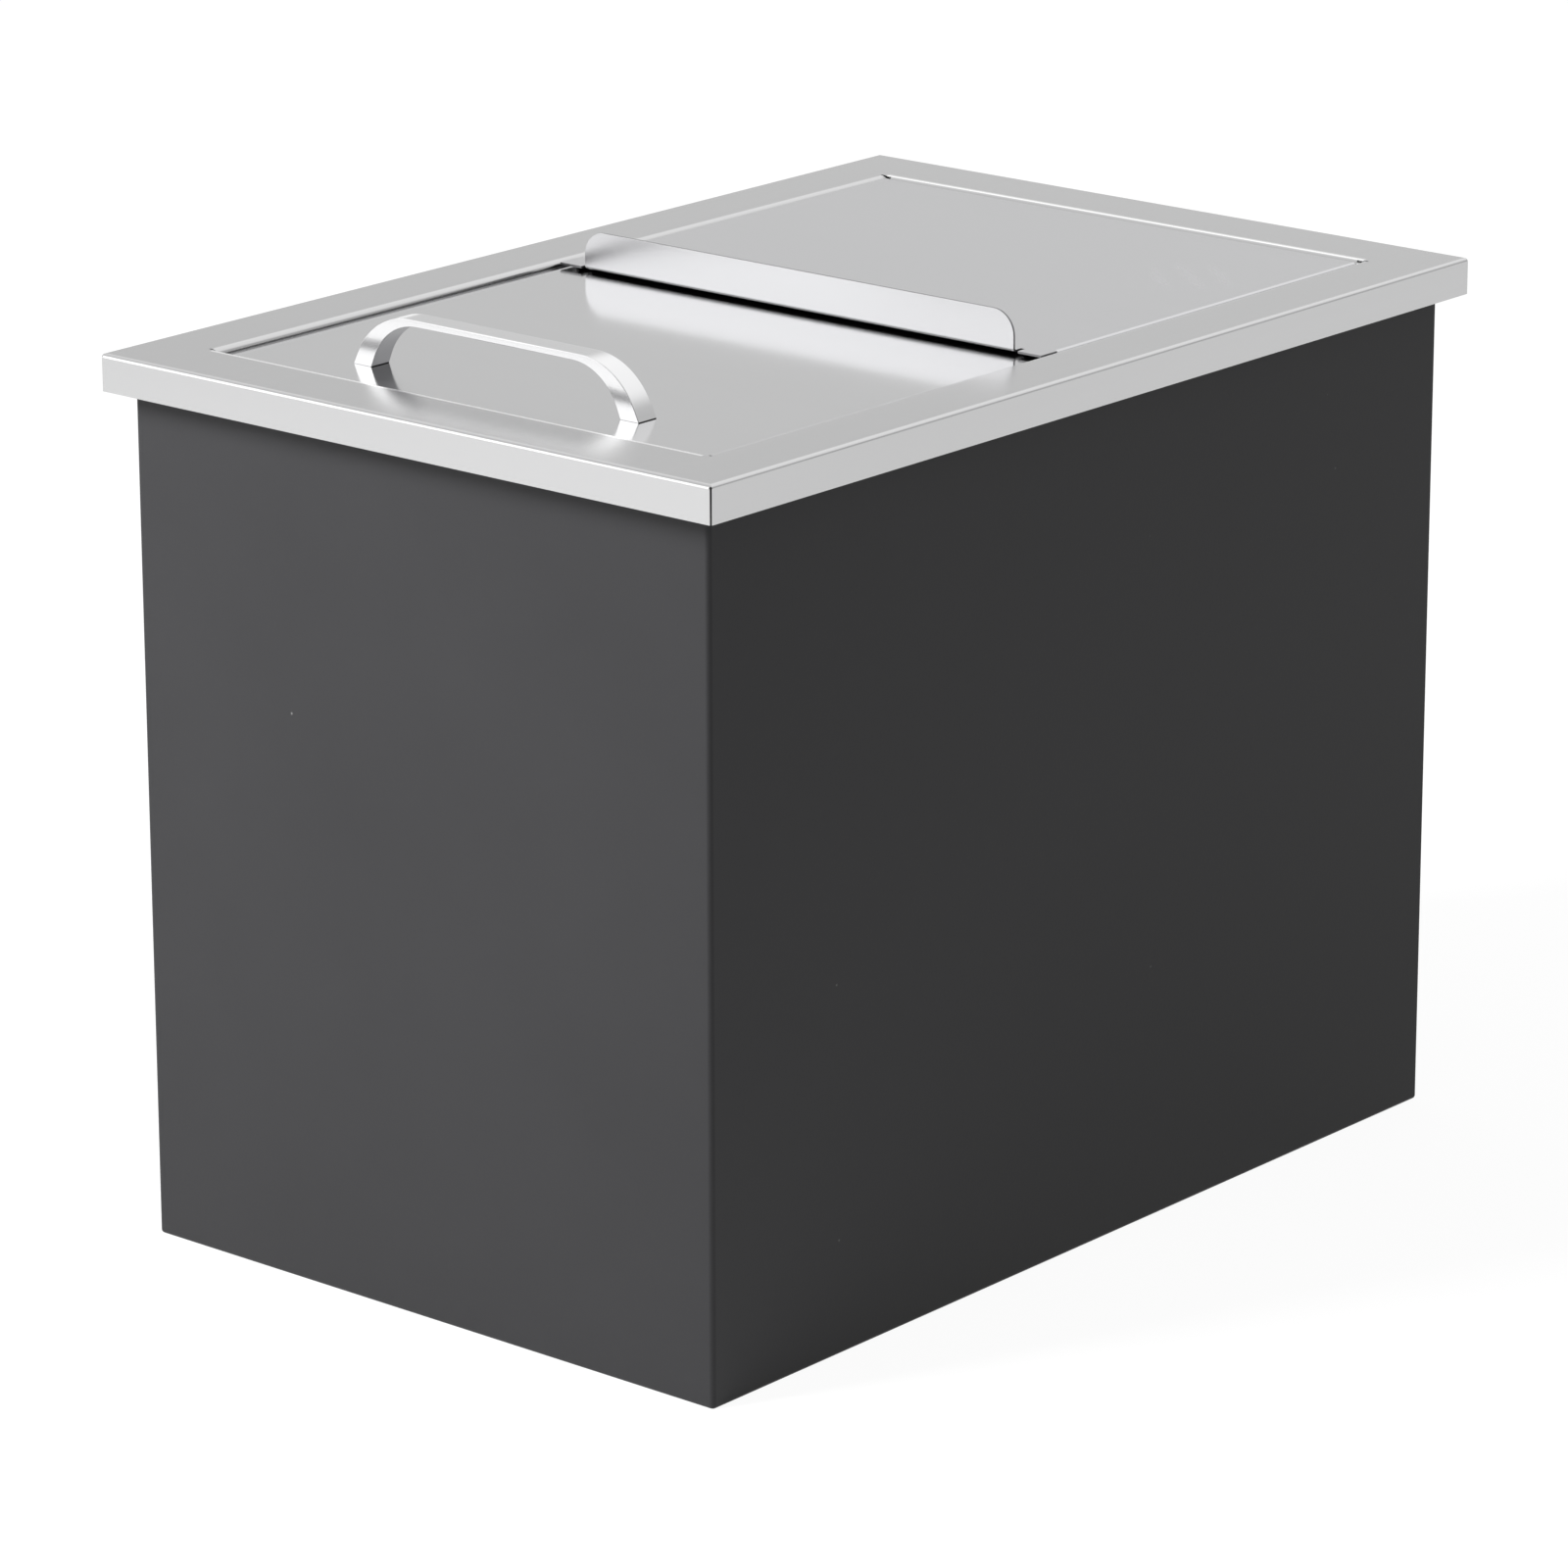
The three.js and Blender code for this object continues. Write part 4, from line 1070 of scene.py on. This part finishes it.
for side, first in ((1, 0.0), (-1, 90.0)):
    for step in range(CORNER_STEPS + 1):
        angle = math.radians(first + 90.0 * step / CORNER_STEPS)
        x = side * (flange_x - FLANGE_CORNER) + FLANGE_CORNER * math.cos(angle)
        z = rear_high.z - FLANGE_CORNER + FLANGE_CORNER * math.sin(angle)
        flange_outline.append(Vector((x, flange_y, z)))
tray_mesh.faces.new([tray_mesh.verts.new(point) for point in flange_outline])
bmesh.ops.remove_doubles(tray_mesh, verts=tray_mesh.verts, dist=1e-6)
bmesh.ops.recalc_face_normals(tray_mesh, faces=tray_mesh.faces)
if max(tray_mesh.faces, key=lambda face: face.calc_area()).normal.z < 0:
    bmesh.ops.reverse_faces(tray_mesh, faces=tray_mesh.faces)
settle(thicken(close_mesh(tray, tray_mesh)))
ease_edges(tray)
REAR_STEEL = steel_finish("rear_steel", *REAR_FINISH, turned=1.0)


def soft_step(tree, start, full, level):
    """A node that rises softly from 0 where its value is start to level where it is full."""
    limits = {"From_Min": start, "From_Max": full, "To_Max": level}
    return add_node(tree, "ShaderNodeMapRange", interpolation_type="SMOOTHSTEP", **limits)


def finger_smears(middle, turn, length, width, spacing):
    """Shader group: a few parallel smears that fingers left round one place, from 0 on clean metal to 1."""
    group, given, result = new_group("finger_smears", ["Vector"], {}, ["Smears"])
    link = group.links.new
    local = add_node(group, "ShaderNodeMapping", vector_type="TEXTURE", Location=middle, Rotation=turn)
    wander = add_node(group, "ShaderNodeTexNoise", Scale=40.0, Detail=2.0)
    sway = add_math(group, "MULTIPLY_ADD", (0.006, 0.006, 0.0), "ShaderNodeVectorMath")
    parts = add_node(group, "ShaderNodeSeparateXYZ")
    link(given.outputs["Vector"], local.inputs["Vector"])
    link(local.outputs["Vector"], wander.inputs["Vector"])
    link(wander.outputs["Color"], sway.inputs[0])
    link(local.outputs["Vector"], sway.inputs[2])
    link(sway.outputs["Vector"], parts.inputs["Vector"])
    turns = add_math(group, "MULTIPLY", 2 * math.pi / spacing)
    bands = add_math(group, "SINE")
    link(parts.outputs["Y"], turns.inputs[0])
    link(turns.outputs["Value"], bands.inputs[0])
    reach = add_math(group, "MULTIPLY", (1 / length, 1 / width, 0.0), "ShaderNodeVectorMath")
    distance = add_math(group, "LENGTH", kind="ShaderNodeVectorMath")
    near = soft_step(group, 1.0, 0.3, 1.0)
    both = add_math(group, "MULTIPLY", use_clamp=True)
    link(local.outputs["Vector"], reach.inputs[0])
    link(reach.outputs["Vector"], distance.inputs[0])
    link(distance.outputs["Value"], near.inputs["Value"])
    link(bands.outputs["Value"], both.inputs[0])
    link(near.outputs["Result"], both.inputs[1])
    link(both.outputs["Value"], result.inputs["Smears"])
    return group


smear_turn = (0.0, 0.0, math.radians(-41.0))
smear_group = finger_smears((0.087, 0.137, 0.0), smear_turn, length=0.034, width=0.032, spacing=0.0125)
rear_tree = REAR_STEEL.node_tree
rear_smears = add_node(rear_tree, "ShaderNodeGroup", node_tree=smear_group)
rear_place = add_node(rear_tree, "ShaderNodeTexCoord")
rear_roughness = rear_tree.nodes["Principled BSDF"].inputs["Roughness"]
duller = add_math(rear_tree, "MULTIPLY_ADD", SMEAR_DULLING)
link = rear_tree.links.new
link(rear_place.outputs["Object"], rear_smears.inputs["Vector"])
link(rear_smears.outputs["Smears"], duller.inputs[0])
link(rear_roughness.links[0].from_socket, duller.inputs[2])
link(duller.outputs["Value"], rear_roughness)
place_piece(tray, "rear_cover", "brushed_cover_steel", REAR_STEEL, "rear_cover", edges=CUT_STEEL)


# Floor, lamps and surroundings. A pale seamless floor in a plain white studio. A large soft box stands low
# at the front left, a smaller key lamp hangs above it, and the room is brightest overhead and behind.
FLOOR_SIZE = 18.0
FLOOR_COLOUR = 0.9
FLOOR_WHITE = 0.93
SURROUND_LEVEL = 0.39
SURROUND_LEAN = (-0.1, 0.4, 0.0)
SURROUND_LOWEST = 0.22
OVERHEAD_LEVEL = 0.6
OVERHEAD_START = 0.3
OVERHEAD_FULL = 0.6
HORIZON_LEVEL = 0.4
HORIZON_LOW = 0.05
HORIZON_TOP = 0.16

floor_mesh = bmesh.new()
bmesh.ops.create_grid(floor_mesh, x_segments=1, y_segments=1, size=FLOOR_SIZE / 2)
floor = new_piece("floor", floor_mesh)
floor_material, floor_tree, floor_shader = new_material("floor")
floor_shader.inputs["Base Color"].default_value = (FLOOR_COLOUR, FLOOR_COLOUR, FLOOR_COLOUR, 1.0)
floor_shader.inputs["Roughness"].default_value = 0.9
floor_shader.inputs["Specular IOR Level"].default_value = 0.0
white = add_node(floor_tree, "ShaderNodeEmission")
rays = add_node(floor_tree, "ShaderNodeLightPath")
seen = add_math(floor_tree, "ADD")
seen_through = add_math(floor_tree, "ADD", use_clamp=True)
share = add_math(floor_tree, "MULTIPLY", FLOOR_WHITE)
blend = add_node(floor_tree, "ShaderNodeMixShader")
link = floor_tree.links.new
link(rays.outputs["Is Camera Ray"], seen.inputs[0])
link(rays.outputs["Is Glossy Ray"], seen.inputs[1])
link(seen.outputs["Value"], seen_through.inputs[0])
link(rays.outputs["Is Transmission Ray"], seen_through.inputs[1])
link(seen_through.outputs["Value"], share.inputs[0])
link(share.outputs["Value"], blend.inputs["Fac"])
link(floor_shader.outputs["BSDF"], blend.inputs[1])
link(white.outputs["Emission"], blend.inputs[2])
link(blend.outputs["Shader"], floor_tree.nodes["Material Output"].inputs["Surface"])
floor.data.materials.append(floor_material)


def soft_lamp(name, place, target, size, power):
    """A square soft lamp that faces a target."""
    lamp = bpy.data.objects.new(name, bpy.data.lights.new(name, "AREA"))
    lamp.data.shape = "SQUARE"
    lamp.data.size = size
    lamp.data.energy = power
    lamp.location = place
    lamp.rotation_euler = (Vector(target) - Vector(place)).to_track_quat("-Z", "Y").to_euler()
    bpy.context.scene.collection.objects.link(lamp)
    return lamp


soft_lamp("low_soft_box", (-1.5, -1.8, 0.92), (0.0, 0.0, 0.36), 1.4, 12.2)
soft_lamp("key_lamp", (-0.75, -1.4, 1.45), (0.0, 0.0, 0.2), 0.8, 185.0).visible_glossy = False

world = bpy.data.worlds.new("studio")
bpy.context.scene.world = world
world.use_nodes = True
world_tree = world.node_tree
link = world_tree.links.new
toward = add_node(world_tree, "ShaderNodeTexCoord")
lean = add_math(world_tree, "DOT_PRODUCT", SURROUND_LEAN, "ShaderNodeVectorMath")
level = add_math(world_tree, "ADD", SURROUND_LEVEL)
lowest = add_math(world_tree, "MAXIMUM", SURROUND_LOWEST)
height = add_node(world_tree, "ShaderNodeSeparateXYZ")
overhead = soft_step(world_tree, OVERHEAD_START, OVERHEAD_FULL, OVERHEAD_LEVEL)
horizon = soft_step(world_tree, HORIZON_TOP, HORIZON_LOW, HORIZON_LEVEL)
bands = add_math(world_tree, "ADD")
total = add_math(world_tree, "ADD")
link(toward.outputs["Generated"], lean.inputs[0])
link(lean.outputs["Value"], level.inputs[0])
link(level.outputs["Value"], lowest.inputs[0])
link(toward.outputs["Generated"], height.inputs["Vector"])
link(height.outputs["Z"], overhead.inputs["Value"])
link(lowest.outputs["Value"], total.inputs[0])
link(height.outputs["Z"], horizon.inputs["Value"])
link(overhead.outputs["Result"], bands.inputs[0])
link(horizon.outputs["Result"], bands.inputs[1])
link(bands.outputs["Value"], total.inputs[1])
link(total.outputs["Value"], world_tree.nodes["Background"].inputs["Strength"])
world_tree.nodes["Background"].inputs["Color"].default_value = (1.0, 1.0, 1.0, 1.0)
bpy.context.scene.view_settings.view_transform = "Standard"
